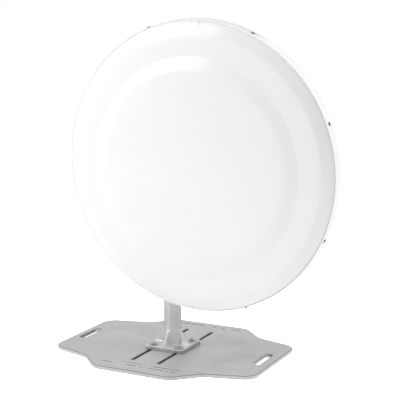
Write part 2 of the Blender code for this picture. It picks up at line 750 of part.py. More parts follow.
def build_wing_bolts(zinc):
    """The two bolts that go sideways through both wings, each with its washers and nut."""
    left = POST_WING_LEFT - GAP
    right = DISH_X + WING_X + BRACKET_THICK + GAP
    far_left = left - PIVOT_WASHER_THICK - PIVOT_HEAD_HEIGHT
    far_right = right + PIVOT_WASHER_THICK + PIVOT_HEAD_HEIGHT
    parts = (
        ("washer_left", PIVOT_WASHER_RADIUS, BOLT_STEPS, left - PIVOT_WASHER_THICK, left),
        ("washer_right", PIVOT_WASHER_RADIUS, BOLT_STEPS, right, right + PIVOT_WASHER_THICK),
        ("nut", PIVOT_HEAD_RADIUS, 6, far_left, left - WASHER_LAP),
        ("head", PIVOT_HEAD_RADIUS, 6, right + WASHER_LAP, far_right),
    )
    for name, place in wing_bolt_places():
        shank = prism(
            circle(place, PIVOT_BOLT_RADIUS, SHANK_STEPS),
            far_left - PIVOT_THREAD_END,
            right + PIVOT_WASHER_THICK + JOIN_LAP,
        )
        bolt = finish(name, shank, zinc, along_x())
        joined = []
        for part, radius, sides, low, high in parts:
            piece = prism(circle(place, radius, sides), low, high)
            joined.append(finish(f"join_{name}_{part}", piece, zinc, along_x()))
        cut(bolt, joined, "UNION")


def rod_hole(x, z):
    """The outline of a clamp rod's hole."""
    return circle((x, z), ROD_RADIUS + HOLE_ROOM, BOLT_STEPS)


def build_clamps(cast, zinc):
    """Two clamps of a front jaw and a rear jaw, drawn together by threaded rods."""
    for row, z in clamp_rows():
        for part, front, back in (
            ("front", WEB_BACK + GAP, FRONT_JAW_BACK),
            ("rear", REAR_JAW_FRONT, REAR_JAW_BACK),
        ):
            width = JAW_HALF_WIDTH
            corners = [(-width, front), (width, front), (width, back), (-width, back)]
            outline = rounded([(x, y, JAW_CORNER) for x, y in corners], JAW_CORNER_STEPS)
            body = prism(outline, z - JAW_HALF_HEIGHT, z + JAW_HALF_HEIGHT)
            jaw = finish(f"{part}_jaw_{row}", body, cast)
            reach = JAW_HALF_HEIGHT + CUT_EXTRA
            grip = circle((0, FOOT_Y), POST_RADIUS + JAW_CLEAR, FINE_STEPS)
            round_cut = prism(grip, z - reach, z + reach)
            cutters = [finish(f"cut_post_{part}_{row}", round_cut, cast)]
            for side, x in (("left", -ROD_X), ("right", ROD_X)):
                hole = prism(rod_hole(x, z), front - CUT_EXTRA, back + CUT_EXTRA)
                cutters.append(finish(f"cut_{part}_{row}_{side}", hole, cast, along_y()))
            cut(jaw, cutters)
        for side, x in (("left", -ROD_X), ("right", ROD_X)):
            build_rod(f"clamp_rod_{row}_{side}", x, z, zinc)


def build_rod(name, x, z, look):
    """One threaded rod with a nut before the web and one behind the rear jaw."""
    shank = prism(circle((x, z), ROD_RADIUS, SHANK_STEPS), ROD_FRONT, ROD_BACK)
    rod = finish(name, shank, look, along_y())
    nuts = (
        ("front", WEB_FRONT - GAP - ROD_NUT_HEIGHT, WEB_FRONT - GAP),
        ("rear", REAR_JAW_BACK + GAP, REAR_JAW_BACK + GAP + ROD_NUT_HEIGHT),
    )
    joined = []
    for part, low, high in nuts:
        nut = prism(circle((x, z), ROD_NUT_RADIUS, 6), low, high)
        joined.append(finish(f"join_{name}_{part}", nut, look, along_y()))
    cut(rod, joined, "UNION")


def main():
    """Build the whole antenna."""
    clear_scene()
    steel = principled("galvanised_steel", (0.55, 0.56, 0.57), 0.45, 1.0)
    plate_steel = principled("plate_steel", (0.50, 0.50, 0.50), 0.5, 1.0)
    zinc = principled("zinc_bolts", (0.62, 0.62, 0.60), 0.35, 1.0)
    white = principled("white_plastic", (0.88, 0.88, 0.87), 0.3, 0.0)
    paint = principled("white_paint", (0.82, 0.82, 0.81), 0.4, 0.0)
    dark = principled("dark_screw", (0.08, 0.08, 0.08), 0.4, 1.0)
    cast = principled("cast_aluminium", (0.6, 0.6, 0.61), 0.5, 1.0)
    build_base_plate(plate_steel)
    build_foot(steel, zinc)
    build_radome(white)
    build_rim_ring(paint)
    build_reflector(paint)
    build_rim_screws(dark)
    build_hub(cast, zinc)
    build_tilt_bracket(steel)
    build_post_bracket(steel)
    build_wing_bolts(zinc)
    build_clamps(cast, zinc)


main()
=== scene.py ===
"""Looks of a parabolic dish antenna that hangs on a post over a carried base plate.

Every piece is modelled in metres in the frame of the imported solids: X along the base plate,
the dish looks along minus Y, Z up. Pieces of the dish are drawn with their own Z as depth,
measured backward from the plane of the radome's front edge, and then set on the dish's axis.
"""

import logging
import math
from collections.abc import Callable, Iterable, Iterator, Sequence
from contextlib import contextmanager
from dataclasses import dataclass
from enum import Enum
from functools import cache, cached_property
from typing import Any, Union

import bmesh
import bpy
from mathutils import Matrix, Vector


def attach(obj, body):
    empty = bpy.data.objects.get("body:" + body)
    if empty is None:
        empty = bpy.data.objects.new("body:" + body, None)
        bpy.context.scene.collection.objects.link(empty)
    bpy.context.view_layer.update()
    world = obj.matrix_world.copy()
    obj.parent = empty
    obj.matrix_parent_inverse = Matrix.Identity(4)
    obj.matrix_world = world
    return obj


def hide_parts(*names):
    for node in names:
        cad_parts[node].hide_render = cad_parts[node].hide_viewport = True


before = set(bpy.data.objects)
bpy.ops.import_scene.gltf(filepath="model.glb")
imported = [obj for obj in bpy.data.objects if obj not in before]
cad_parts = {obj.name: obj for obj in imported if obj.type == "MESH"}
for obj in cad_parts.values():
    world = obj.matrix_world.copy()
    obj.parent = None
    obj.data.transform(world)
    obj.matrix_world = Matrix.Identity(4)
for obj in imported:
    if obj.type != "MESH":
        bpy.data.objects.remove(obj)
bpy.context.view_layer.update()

LOG = logging.getLogger("antenna")
BODY = "root"

Pair = tuple[float, float]
Trio = tuple[float, float, float]
Point = Sequence[float]
Test = Callable[[Vector, Vector], bool]
Surface = dict[str, Any]

QUARTER_TURN = math.pi / 2
HALF_TURN = math.pi
FULL_TURN = 2 * math.pi
QUARTERS = ((1, 1), (-1, 1), (-1, -1), (1, -1))
MIDDLE = (0.0, 0.0)
TINY = 1e-5
MERGE = 1e-6
GAP = 0.0003
THROUGH = 0.5
CLEARANCE = 0.0005
THREAD_PITCH = 0.0015
CREST_START = 0.75
CREST_LENGTH = 0.15
HEXAGON_FALL = 0.13
HEXAGON_FACE = 0.86
HEXAGON_OVER = 1.1
WASHER_EDGE = 0.2
BEVEL_STEPS = 2
UPRIGHT = 0.1
ALONG = 0.9
SMOOTH_ANGLE = math.radians(32)
EDGE_ANGLE = math.radians(40)
FOLD_ANGLE = math.radians(50)


def turn(angle: float, axis: str) -> Matrix:
    """A turn about an axis."""
    return Matrix.Rotation(angle, 4, axis)


def shift(x: float = 0.0, y: float = 0.0, z: float = 0.0) -> Matrix:
    """A move along the axes."""
    return Matrix.Translation((x, y, z))


# Where the dish hangs
DISH_PLACE = Vector((0.2389, -0.2856, 0.7274))
DISH_TILT = math.radians(3.26)
DISH_FRAME = shift(*DISH_PLACE) @ turn(DISH_TILT, "X")
DEPTH_TO_Y = turn(-QUARTER_TURN, "X")
DEPTH_TO_X = turn(QUARTER_TURN, "Y")
ON_DISH = DISH_FRAME @ DEPTH_TO_Y

# Where the post stands
FOOT_Y = -0.005
ON_FOOT = shift(y=FOOT_Y)


class Slot(Enum):
    """Material slots of the record that pieces take their finish from."""

    PLATE = "plate_steel"
    GALVANISED = "galvanised_steel"
    ZINC = "zinc_bolts"
    RADOME = "radome_plastic"
    COATED = "painted_aluminium"
    DARK = "dark_screws"
    CAST = "cast_aluminium"
    BLACK = "black_plastic"


class Part(Enum):
    """Kinds of mesh part that can be picked in edit mode."""

    VERT = "verts"
    EDGE = "edges"
    FACE = "faces"


class Way(Enum):
    """Ways to combine two pieces."""

    CUT = "DIFFERENCE"
    JOIN = "UNION"
    KEEP = "INTERSECT"


class Kind(Enum):
    """Nodes that draw a pattern."""

    NOISE = "ShaderNodeTexNoise"
    CELLS = "ShaderNodeTexVoronoi"


@dataclass(frozen=True)
class Sock:
    """An output socket that takes part in plain sums."""

    graph: "Graph"
    plug: bpy.types.NodeSocket

    def _sum(self, operation: str, left: "Value", right: "Value" = 0.0) -> "Sock":
        """Add a Math node on one value or two."""
        return self.graph.node("ShaderNodeMath", {"operation": operation}, {0: left, 1: right})

    def __add__(self, other: "Value") -> "Sock":
        """Sum."""
        return self._sum("ADD", self, other)

    def __sub__(self, other: "Value") -> "Sock":
        """Difference."""
        return self._sum("SUBTRACT", self, other)

    def __rsub__(self, other: "Value") -> "Sock":
        """Difference, reflected."""
        return self._sum("SUBTRACT", other, self)

    def __mul__(self, other: "Value") -> "Sock":
        """Product."""
        return self._sum("MULTIPLY", self, other)

    def __pow__(self, other: "Value") -> "Sock":
        """Power."""
        return self._sum("POWER", self, other)

    def __gt__(self, other: "Value") -> "Sock":
        """One where this is the greater, else zero."""
        return self._sum("GREATER_THAN", self, other)

    def __abs__(self) -> "Sock":
        """Size without its sign."""
        return self._sum("ABSOLUTE", self)

    def sine(self) -> "Sock":
        """Sine."""
        return self._sum("SINE", self)

    __radd__ = __add__
    __rmul__ = __mul__


Value = Union[Sock, float]


@dataclass(frozen=True)
class Pattern:
    """A pattern: waves a metre, number and share of its finer layers, and a step taken of it."""

    scale: float
    detail: float = 2.0
    rough: float = 0.5
    span: Pair | None = None
    stretch: Trio | None = None
    kind: Kind = Kind.NOISE


class Graph:
    """The node tree of one material or world."""

    def __init__(self, owner: bpy.types.Material | bpy.types.World) -> None:
        """Start with an empty tree.

        Args:
            owner: the material or world.
        """
        owner.use_nodes = True
        self.tree = owner.node_tree
        self.tree.nodes.clear()

    def node(
        self,
        kind: str,
        settings: dict[str, Any] | None = None,
        sockets: dict[str | int, Any] | None = None,
        output: str | int = 0,
    ) -> Sock:
        """Add one node.

        Args:
            kind: the node's type.
            settings: values set on the node itself.
            sockets: values or links of its input sockets.
            output: which output is wanted.

        Returns:
            That output.
        """
        made = self.tree.nodes.new(kind)
        for key, value in (settings or {}).items():
            setattr(made, key, value)
        for key, value in (sockets or {}).items():
            socket = made.inputs[key]
            if isinstance(value, Sock):
                self.tree.links.new(value.plug, socket)
            else:
                socket.default_value = (*value, 1.0) if socket.type == "RGBA" else value
        return Sock(self, made.outputs[output])

    def show(self, shader: Sock, kind: str = "ShaderNodeOutputMaterial") -> None:
        """Link a shader to a new output node."""
        out = self.tree.nodes.new(kind)
        self.tree.links.new(shader.plug, out.inputs["Surface"])

    @cached_property
    def here(self) -> Sock:
        """Object coordinates."""
        return self.node("ShaderNodeTexCoord", output="Object")

    def place(self, turned: Matrix | None = None, stretch: Point | None = None) -> Sock:
        """Object coordinates in a frame of the piece, then stretched.

        Args:
            turned: the frame in which the pattern lies, or none for the piece's own.
            stretch: how much each axis is stretched, or none.

        Returns:
            The coordinates.
        """
        here = self.here
        if turned is not None:
            back = turned.inverted()
            sockets = {"Vector": here, "Location": back.translation, "Rotation": back.to_euler()}
            here = self.node("ShaderNodeMapping", None, sockets)
        if stretch is not None:
            here = self.node("ShaderNodeMapping", None, {"Vector": here, "Scale": stretch})
        return here

    def axes(self, vector: Sock) -> tuple[Sock, ...]:
        """Split a vector into its X, Y and Z."""
        split = self.node("ShaderNodeSeparateXYZ", None, {"Vector": vector}).plug.node
        return tuple(Sock(self, plug) for plug in split.outputs)

    def pattern(self, pattern: Pattern, turned: Matrix | None = None) -> Sock:
        """Read a pattern.

        Args:
            pattern: the pattern.
            turned: the frame in which it lies, or none for the piece's own.

        Returns:
            Its value from 0 to 1, stepped where it has a span.
        """
        sockets = {"Vector": self.place(turned, pattern.stretch), "Scale": pattern.scale}
        sockets |= {"Detail": pattern.detail, "Roughness": pattern.rough}
        value = self.node(pattern.kind.value, None, sockets)
        return self.step(value, *pattern.span) if pattern.span else value

    def step(self, value: Value, low: float, high: float) -> Sock:
        """A smooth step from 0 at one value to 1 at another."""
        sockets = {"Value": value, "From Min": low, "From Max": high}
        return self.node("ShaderNodeMapRange", {"interpolation_type": "SMOOTHSTEP"}, sockets)

    def line(self, value: Value, middle: float, half: float, soft: float) -> Sock:
        """One where a value is within half a width of its middle, with a soft edge, else zero."""
        return 1 - self.step(abs(value - middle), half, half + soft)

    def mix(self, color: Any, *layers: tuple[Any, Value]) -> Sock:
        """Lay colours over a first one.

        Args:
            color: the first colour.
            layers: the others, each with its share.

        Returns:
            The mixed colour.
        """
        for layer, share in layers:
            sockets = {0: share, 6: color, 7: layer}
            color = self.node("ShaderNodeMix", {"data_type": "RGBA"}, sockets, 2)
        return color

    def bump(self, height: Sock, depth: float, strength: float) -> Sock:
        """A bumped normal from a height, its full depth in metres and its strength."""
        sockets = {"Height": height, "Distance": depth, "Strength": strength}
        return self.node("ShaderNodeBump", None, sockets)


@dataclass(frozen=True)
class Finish:
    """What all finishes share: a name, the record's slot and a base colour."""

    name: str
    slot: Slot
    color: Trio

    def tone(self, share: float) -> Trio:
        """The base colour made darker or lighter, up to white."""
        return tuple(min(1.0, channel * share) for channel in self.color)

    def surface(self, graph: Graph) -> Surface:
        """Values or links of the shader's sockets, from the nodes that this adds."""
        raise NotImplementedError


@cache
def material_of(finish: Finish) -> bpy.types.Material:
    """Make a finish's material once.

    Args:
        finish: the finish.

    Returns:
        Its material.
    """
    material = bpy.data.materials.new(finish.name)
    graph = Graph(material)
    graph.show(graph.node("ShaderNodeBsdfPrincipled", None, finish.surface(graph)))
    return material


@dataclass(frozen=True)
class RadomeShell(Finish):
    """Smooth white moulded plastic with a soft gloss, a faint tint and a mark at top and foot."""

    gloss: float = 0.09
    cloud: Pattern = Pattern(2.6, 3.0, span=(0.35, 0.7))
    dust_and_shade: Pattern = Pattern(55.0, 4.0, 0.62, (0.62, 0.80))
    haze: Pattern = Pattern(30.0, 3.0)
    peel: Pattern = Pattern(420.0)
    faint_tone: float = 0.985
    dust_and_shade_color: Trio = (0.72, 0.71, 0.69)
    dust_and_shade_share: float = 0.02
    haze_rough: float = 0.05
    relief: Pair = (0.00002, 0.35)
    mark_color: Trio = (0.30, 0.30, 0.30)
    mark_half_width: float = 0.0008
    mark_soft: Pair = (0.0006, 0.002)
    marks: tuple[tuple[Trio, float], ...] = (
        ((0.0278, 0.4762, 0.0062), 0.75),
        ((-0.0213, -0.4680, 0.0140), 0.3375),
    )

    def surface(self, graph: Graph) -> Surface:
        """Build the finish.

        Args:
            graph: the material's node tree.

        Returns:
            Values or links of the shader's sockets.
        """
        x, _, z = graph.axes(graph.place(DISH_FRAME))
        marks: Value = 0.0
        for (across, up, half), share in self.marks:
            mark = graph.line(x, across, self.mark_half_width, self.mark_soft[0])
            marks = marks + mark * graph.line(z, up, half, self.mark_soft[1]) * share
        faint = (self.tone(self.faint_tone), graph.pattern(self.cloud))
        dust_and_shade = (self.dust_and_shade_color, graph.pattern(self.dust_and_shade) * self.dust_and_shade_share)
        return {
            "Base Color": graph.mix(self.color, faint, dust_and_shade, (self.mark_color, marks)),
            "Roughness": self.gloss + self.haze_rough * graph.pattern(self.haze),
            "Normal": graph.bump(graph.pattern(self.peel), *self.relief),
        }


@dataclass(frozen=True)
class PowderCoat(Finish):
    """White powder coat with fine orange peel, faint spinning rings and painted shade along the
    ring's top.
    """

    gloss: float = 0.34
    rings: float = 0.0
    ring_waves: float = 900.0
    waver: Pattern = Pattern(6.0)
    waver_shift: float = 7.0
    peel: Pattern = Pattern(900.0)
    dirt_and_shade: Pattern = Pattern(14.0, 5.0, 0.6, (0.52, 0.78))
    dirt_and_shade_color: Trio = (0.66, 0.65, 0.63)
    dirt_and_shade_share: float = 0.12
    dirt_rough: float = 0.12
    dust_and_shade_color: Trio = (0.60, 0.60, 0.59)
    dust_and_shade_share: float = 0.6
    painted_top_shade_span: Pair = (0.400, 0.455)
    painted_top_shade_radius: float = 0.4868
    relief: Pair = (0.00006, 0.4)

    def surface(self, graph: Graph) -> Surface:
        """Build the finish.

        Args:
            graph: the material's node tree.

        Returns:
            Values or links of the shader's sockets.
        """
        x, _, z = graph.axes(graph.place(DISH_FRAME))
        radius = (x * x + z * z) ** 0.5
        # Painted shade: the ring's top, outside the radome's edge, is made darker.
        dust_and_shade = graph.step(z, *self.painted_top_shade_span) * (radius > self.painted_top_shade_radius)
        waves = (radius * self.ring_waves + graph.pattern(self.waver) * self.waver_shift).sine()
        spun = waves * 0.5 + 0.5
        height = graph.pattern(self.peel) * (1 - self.rings) + spun * self.rings
        dirt_and_shade = graph.pattern(self.dirt_and_shade)
        painted_top_shade = (self.dust_and_shade_color, dust_and_shade * self.dust_and_shade_share)
        return {
            "Base Color": graph.mix(self.color, painted_top_shade, (self.dirt_and_shade_color, dirt_and_shade * self.dirt_and_shade_share)),
            "Roughness": self.gloss + self.dirt_rough * dirt_and_shade,
            "Normal": graph.bump(height, *self.relief),
        }


@dataclass(frozen=True)
class PlateSteel(Finish):
    """Matt light plate with a faint rolling grain, smudges, fine scratches and scribed lines, each
    line with a painted highlight beside it.
    """

    rough: float = 0.42
    metallic: float = 0.7
    scribe_color: Trio = (0.05, 0.05, 0.05)
    scribe_highlight_color: Trio = (0.85, 0.85, 0.84)
    scribe_highlight_shift: float = 0.008
    top: float = 0.0118
    dark_tone: float = 0.88
    light_tone: float = 1.10
    smudge_share: float = 0.5
    patch_share: float = 0.45
    scratch_share: float = 0.6
    scribe_highlight_share: float = 0.7
    grain_share: float = 0.25
    grain_span: Pair = (0.45, 0.75)
    scribe_share: float = 0.9
    scribe_soft: Pair = (0.002, 0.0010)
    worn_rough: float = 0.10
    mill_height: float = 0.25
    grain_height: float = 0.35
    scribe_depth: float = 2.0
    scratch_depth: float = 0.3
    relief: Pair = (0.00005, 0.5)
    grain: Pattern = Pattern(1.0, 4.0, 0.6, stretch=(9.0, 260.0, 9.0))
    smudge: Pattern = Pattern(5.5, 4.0, 0.55, (0.42, 0.70))
    patch: Pattern = Pattern(1.3, 3.0, 0.5, (0.50, 0.68), (3.0, 9.0, 3.0))
    mill: Pattern = Pattern(1400.0, 1.0)
    scratches: tuple[tuple[float, Pattern], ...] = (
        (0.35, Pattern(2.0, 1.0, 0.5, (0.725, 0.76), (1.7, 136.0, 1.0))),
        (1.9, Pattern(2.0, 1.0, 0.5, (0.725, 0.76), (2.3, 184.0, 1.0))),
    )
    scribed: tuple[tuple[float, float, float, float], ...] = (
        (-0.142, -0.104, -0.2710, 0.0024),
        (-0.071, 0.020, -0.2500, 0.0016),
        (0.045, 0.162, -0.2500, 0.0021),
        (-0.042, -0.005, -0.2730, 0.0027),
        (0.012, 0.022, -0.2730, 0.0022),
        (0.045, 0.106, -0.2730, 0.0020),
        (0.116, 0.124, -0.2730, 0.0022),
        (0.134, 0.150, -0.2730, 0.0022),
        (-0.111, -0.014, 0.2850, 0.0032),
        (0.020, 0.042, 0.2840, 0.0024),
        (0.064, 0.080, 0.2760, 0.0045),
        (0.106, 0.140, 0.2840, 0.0030),
    )

    def surface(self, graph: Graph) -> Surface:
        """Build the finish.

        Args:
            graph: the material's node tree.

        Returns:
            Values or links of the shader's sockets.
        """
        x, y, z = graph.axes(graph.here)
        is_top = z > self.top
        grain = graph.pattern(self.grain)
        smudge = graph.pattern(self.smudge)
        scratch = sum(graph.pattern(lines, turn(way, "Z")) for way, lines in self.scratches)
        scribe = self._scribe(graph, x, y) * is_top
        # Painted highlight: a light line beside each scribed line.
        scribe_highlight = self._scribe(graph, x, y + self.scribe_highlight_shift) * is_top
        dark, light = self.tone(self.dark_tone), self.tone(self.light_tone)
        color = graph.mix(
            self.color,
            (dark, smudge * self.smudge_share),
            (light, graph.pattern(self.patch) * self.patch_share),
            (light, scratch * self.scratch_share),
            (self.scribe_highlight_color, scribe_highlight * self.scribe_highlight_share),
            (dark, graph.step(grain, *self.grain_span) * self.grain_share),
            (self.scribe_color, scribe * self.scribe_share),
        )
        height = graph.pattern(self.mill) * self.mill_height + grain * self.grain_height
        height = height - scribe * self.scribe_depth - scratch * self.scratch_depth
        return {
            "Base Color": color,
            "Metallic": self.metallic,
            "Roughness": self.rough + smudge * self.worn_rough - scratch * self.worn_rough,
            "Normal": graph.bump(height, *self.relief),
        }

    def _scribe(self, graph: Graph, x: Sock, y: Sock) -> Sock:
        """Scribed setting-out lines near the plate's two long edges.

        Args:
            graph: the material's node tree.
            x: place along the plate.
            y: place across the plate.

        Returns:
            One on a line, else zero.
        """
        total: Value = 0.0
        along_soft, across_soft = self.scribe_soft
        for start, end, at, half in self.scribed:
            along = graph.line(x, (start + end) / 2, (end - start) / 2, along_soft)
            total = total + graph.line(y, at, half, across_soft) * along
        return total


@dataclass(frozen=True)
class SlotWall(Finish):
    """Wall of a long slot: dark, with painted light along the middle of its length above the
    channel.
    """

    rough: float = 0.6
    metallic: float = 0.3
    grain: Pattern = Pattern(700.0)
    painted_light_color: Trio = (0.90, 0.89, 0.88)
    painted_light_middle: float = 0.130
    painted_light_half: float = 0.050
    painted_light_low: float = 0.0030
    painted_light_soft: float = 0.004
    painted_light_share: float = 0.85
    painted_light_grain: float = 0.15
    relief: Pair = (0.00004, 0.4)

    def surface(self, graph: Graph) -> Surface:
        """Build the finish.

        Args:
            graph: the material's node tree.

        Returns:
            Values or links of the shader's sockets.
        """
        _, y, z = graph.axes(graph.here)
        # Painted light along the middle of the wall, above the channel.
        painted_light_mask = graph.line(y, self.painted_light_middle, self.painted_light_half, self.painted_light_soft)
        painted_light_mask = painted_light_mask * (z > self.painted_light_low)
        grain = graph.pattern(self.grain)
        painted_light = (self.painted_light_color, painted_light_mask * (self.painted_light_share + self.painted_light_grain * grain))
        return {
            "Base Color": graph.mix(self.color, painted_light),
            "Metallic": self.metallic,
            "Roughness": self.rough,
            "Normal": graph.bump(grain, *self.relief),
        }


@dataclass(frozen=True)
class Galvanised(Finish):
    """Hot-dip galvanised steel: grey spangle, soft stains, long runs, a fine grain and painted
    light toward the foot.
    """

    spangle: float = 95.0
    rough: float = 0.40
    metallic: float = 0.9
    contrast: float = 0.16
    stain: Pattern = Pattern(16.0, 5.0, 0.6, (0.44, 0.72))
    stain_share: float = 0.35
    runs: Pattern = Pattern(1.0, 3.0, 0.5, (0.45, 0.65), (150.0, 150.0, 5.0))
    streaks: float = 0.12
    rough_spread: float = 0.10
    grain: Pattern = Pattern(700.0)
    foot_painted_light_color: Trio = (0.95, 0.95, 0.94)
    foot_painted_light: float = 0.0
    foot_span: Pair = (0.06, 0.26)
    edge_tint: float = 1.0
    grain_height: float = 0.6
    spangle_height: float = 0.4
    relief: Pair = (0.00004, 0.4)

    def surface(self, graph: Graph) -> Surface:
        """Build the finish.

        Args:
            graph: the material's node tree.

        Returns:
            Values or links of the shader's sockets.
        """
        sockets = {"Vector": graph.here, "Scale": self.spangle}
        tone = graph.axes(graph.node(Kind.CELLS.value, None, sockets, "Color"))[0]
        stain = graph.pattern(self.stain)
        dark = self.tone(1 - self.contrast)
        # Painted light: the colour is made lighter toward the foot, where the post stands in shade.
        foot_painted_light_mask = 1 - graph.step(graph.axes(graph.here)[2], *self.foot_span)
        height = graph.pattern(self.grain) * self.grain_height + tone * self.spangle_height
        color = graph.mix(
            self.color,
            (self.tone(1 + self.contrast), tone),
            (dark, stain * self.stain_share),
            (dark, graph.pattern(self.runs) * self.streaks),
            (self.foot_painted_light_color, foot_painted_light_mask * self.foot_painted_light),
        )
        return {
            "Base Color": color,
            "Metallic": self.metallic,
            "Roughness": self.rough + self.rough_spread * tone + self.rough_spread * stain,
            "Specular Tint": (self.edge_tint,) * 3,
            "Normal": graph.bump(height, *self.relief),
        }


@dataclass(frozen=True)
class BareMetal(Finish):
    """Machined or plated metal with a fine grain and handling marks."""

    rough: float = 0.26
    metallic: float = 1.0
    wear: Pattern = Pattern(90.0, 4.0, 0.6, (0.45, 0.70))
    worn_tone: float = 0.72
    worn_share: float = 0.25
    worn_rough: float = 0.16
    grain: Pattern = Pattern(1200.0, 3.0)
    grain_rough: float = 0.05
    relief: Pair = (0.00002, 0.5)

    def surface(self, graph: Graph) -> Surface:
        """Build the finish.

        Args:
            graph: the material's node tree.

        Returns:
            Values or links of the shader's sockets.
        """
        worn, grain = graph.pattern(self.wear), graph.pattern(self.grain)
        marks = (self.tone(self.worn_tone), worn * self.worn_share)
        rough = self.rough + self.worn_rough * worn
        if self.grain_rough:
            rough = rough + self.grain_rough * grain
        return {
            "Base Color": graph.mix(self.color, marks),
            "Metallic": self.metallic,
            "Roughness": rough,
            "Normal": graph.bump(grain, *self.relief),
        }


@dataclass(frozen=True)
class CastMetal(BareMetal):
    """Sand-cast aluminium: a pebbled skin with darker hollows and broad stains."""

    rough: float = 0.48
    metallic: float = 0.95
    wear: Pattern = Pattern(520.0, 3.0, 0.6, (0.60, 0.42))
    worn_tone: float = 0.74
    worn_share: float = 0.4
    worn_rough: float = 0.15
    grain: Pattern = Pattern(520.0, 3.0, 0.6)
    grain_rough: float = 0.0
    relief: Pair = (0.00015, 0.5)
    broad: Pattern = Pattern(22.0, 3.0, span=(0.5, 0.7))
    broad_tone: float = 0.86

    def surface(self, graph: Graph) -> Surface:
        """Build the finish.

        Args:
            graph: the material's node tree.

        Returns:
            Values or links of the shader's sockets.
        """
        skin = super().surface(graph)
        broad = (self.tone(self.broad_tone), graph.pattern(self.broad))
        return skin | {"Base Color": graph.mix(skin["Base Color"], broad)}


@dataclass(frozen=True)
class WeldMetal(BareMetal):
    """Bright weld metal with a fine ripple and a little spatter."""

    rough: float = 0.30
    metallic: float = 0.5
    wear: Pattern = Pattern(240.0, 3.0, span=(0.45, 0.65))
    worn_tone: float = 0.80
    worn_share: float = 0.4
    worn_rough: float = 0.12
    grain: Pattern = Pattern(900.0)
    grain_rough: float = 0.0
    relief: Pair = (0.00006, 0.5)


@dataclass(frozen=True)
class DarkMoulding(BareMetal):
    """Dark rubber or plastic with a fine moulded grain."""

    rough: float = 0.5
    metallic: float = 0.0
    wear: Pattern = Pattern(60.0, 3.0, span=(0.5, 0.75))
    worn_tone: float = 1.8
    worn_share: float = 0.5
    worn_rough: float = 0.12
    grain: Pattern = Pattern(1300.0, 0.0, kind=Kind.CELLS)
    grain_rough: float = 0.0
    relief: Pair = (0.00008, 0.4)


@dataclass(frozen=True)
class EdgeSeal(Finish):
    """Pale sealing bead with uneven painted shade at the right and toward the foot of the dish."""

    rough: float = 0.6
    blot: Pattern = Pattern(80.0, 3.0)
    dirt_and_shade_color: Trio = (0.42, 0.42, 0.41)
    seal_painted_shade_way: Pair = (0.94, -0.34)
    seal_painted_shade_span: Pair = (0.10, 0.45)
    dirt_and_shade_share: float = 0.8
    blot_share: float = 0.4
    blot_rough: float = 0.1
    relief: Pair = (0.00008, 0.4)

    def surface(self, graph: Graph) -> Surface:
        """Build the finish.

        Args:
            graph: the material's node tree.

        Returns:
            Values or links of the shader's sockets.
        """
        x, _, z = graph.axes(graph.place(DISH_FRAME))
        # Painted shade: darker toward the dish's right and foot.
        seal_painted_shade = graph.step(x * self.seal_painted_shade_way[0] + z * self.seal_painted_shade_way[1], *self.seal_painted_shade_span)
        blot = graph.pattern(self.blot)
        dirt_and_shade = (self.dirt_and_shade_color, seal_painted_shade * (self.dirt_and_shade_share + self.blot_share * blot))
        return {
            "Base Color": graph.mix(self.color, dirt_and_shade),
            "Roughness": self.rough + self.blot_rough * blot,
            "Normal": graph.bump(blot, *self.relief),
        }


RADOME_FINISH = RadomeShell("radome_shell", Slot.RADOME, (0.88, 0.88, 0.875))
RING_FINISH = PowderCoat("ring_coat", Slot.COATED, (0.91, 0.91, 0.905))
# Painted shade: the bowl's coat is made darker than the ring's.
SHADED_BOWL_FINISH = PowderCoat("bowl_coat", Slot.COATED, (0.60, 0.60, 0.595), rings=0.6)
SEAL_FINISH = EdgeSeal("edge_seal", Slot.BLACK, (0.86, 0.86, 0.855))
DARK_FINISH = DarkMoulding("screw_ring", Slot.DARK, (0.018, 0.018, 0.018))
SCREW_FINISH = BareMetal("screw_crown", Slot.DARK, (0.80, 0.80, 0.80), 0.40, 0.6)
CAST_FINISH = CastMetal("cast_skin", Slot.CAST, (0.60, 0.60, 0.605))
MACHINED_FINISH = BareMetal(
    "machined_face", Slot.CAST, (0.72, 0.72, 0.72), grain=Pattern(2500.0, 3.0)
)
PLATE_FINISH = PlateSteel("plate_top", Slot.PLATE, (0.635, 0.63, 0.625))
PLATE_SIDE_FINISH = BareMetal("plate_side", Slot.PLATE, (0.62, 0.615, 0.61), 0.5, 0.2)
# Painted shade for the plate's bevelled edges.
PLATE_EDGE_SHADE_FINISH = BareMetal("plate_edge", Slot.PLATE, (0.12, 0.118, 0.115), 0.6, 0.5)
SLOT_WALL_FINISH = SlotWall("slot_wall", Slot.PLATE, (0.58, 0.575, 0.565))
# Painted shade for the hand slots' walls.
HAND_WALL_SHADE_FINISH = BareMetal("hand_slot_wall", Slot.PLATE, (0.27, 0.267, 0.26), 0.6, 0.3)
HAND_END_FINISH = BareMetal("hand_slot_end", Slot.PLATE, (0.62, 0.615, 0.61), 0.6, 0.3)
STEEL_FINISH = Galvanised(
    "galvanised_steel", Slot.GALVANISED, (0.64, 0.64, 0.635), metallic=0.5
)
# Painted shade for the flange's sides.
FLANGE_SIDE_SHADE_FINISH = Galvanised(
    "flange_side", Slot.GALVANISED, (0.42, 0.415, 0.41), metallic=0.6
)
GUSSET_FINISH = Galvanised(
    "galvanised_gusset", Slot.GALVANISED, (0.62, 0.62, 0.615), metallic=0.3
)
# Painted light for the right gusset.
LIT_GUSSET_FINISH = Galvanised(
    "fresh_gusset", Slot.GALVANISED, (0.88, 0.88, 0.875), metallic=0.3
)
# Painted shade for the gussets' sloped edges.
GUSSET_EDGE_SHADE_FINISH = Galvanised(
    "gusset_edge", Slot.GALVANISED, (0.50, 0.50, 0.495), metallic=0.5
)
BRACKET_FINISH = Galvanised(
    "galvanised_bracket", Slot.GALVANISED, (0.50, 0.50, 0.495), metallic=0.8
)
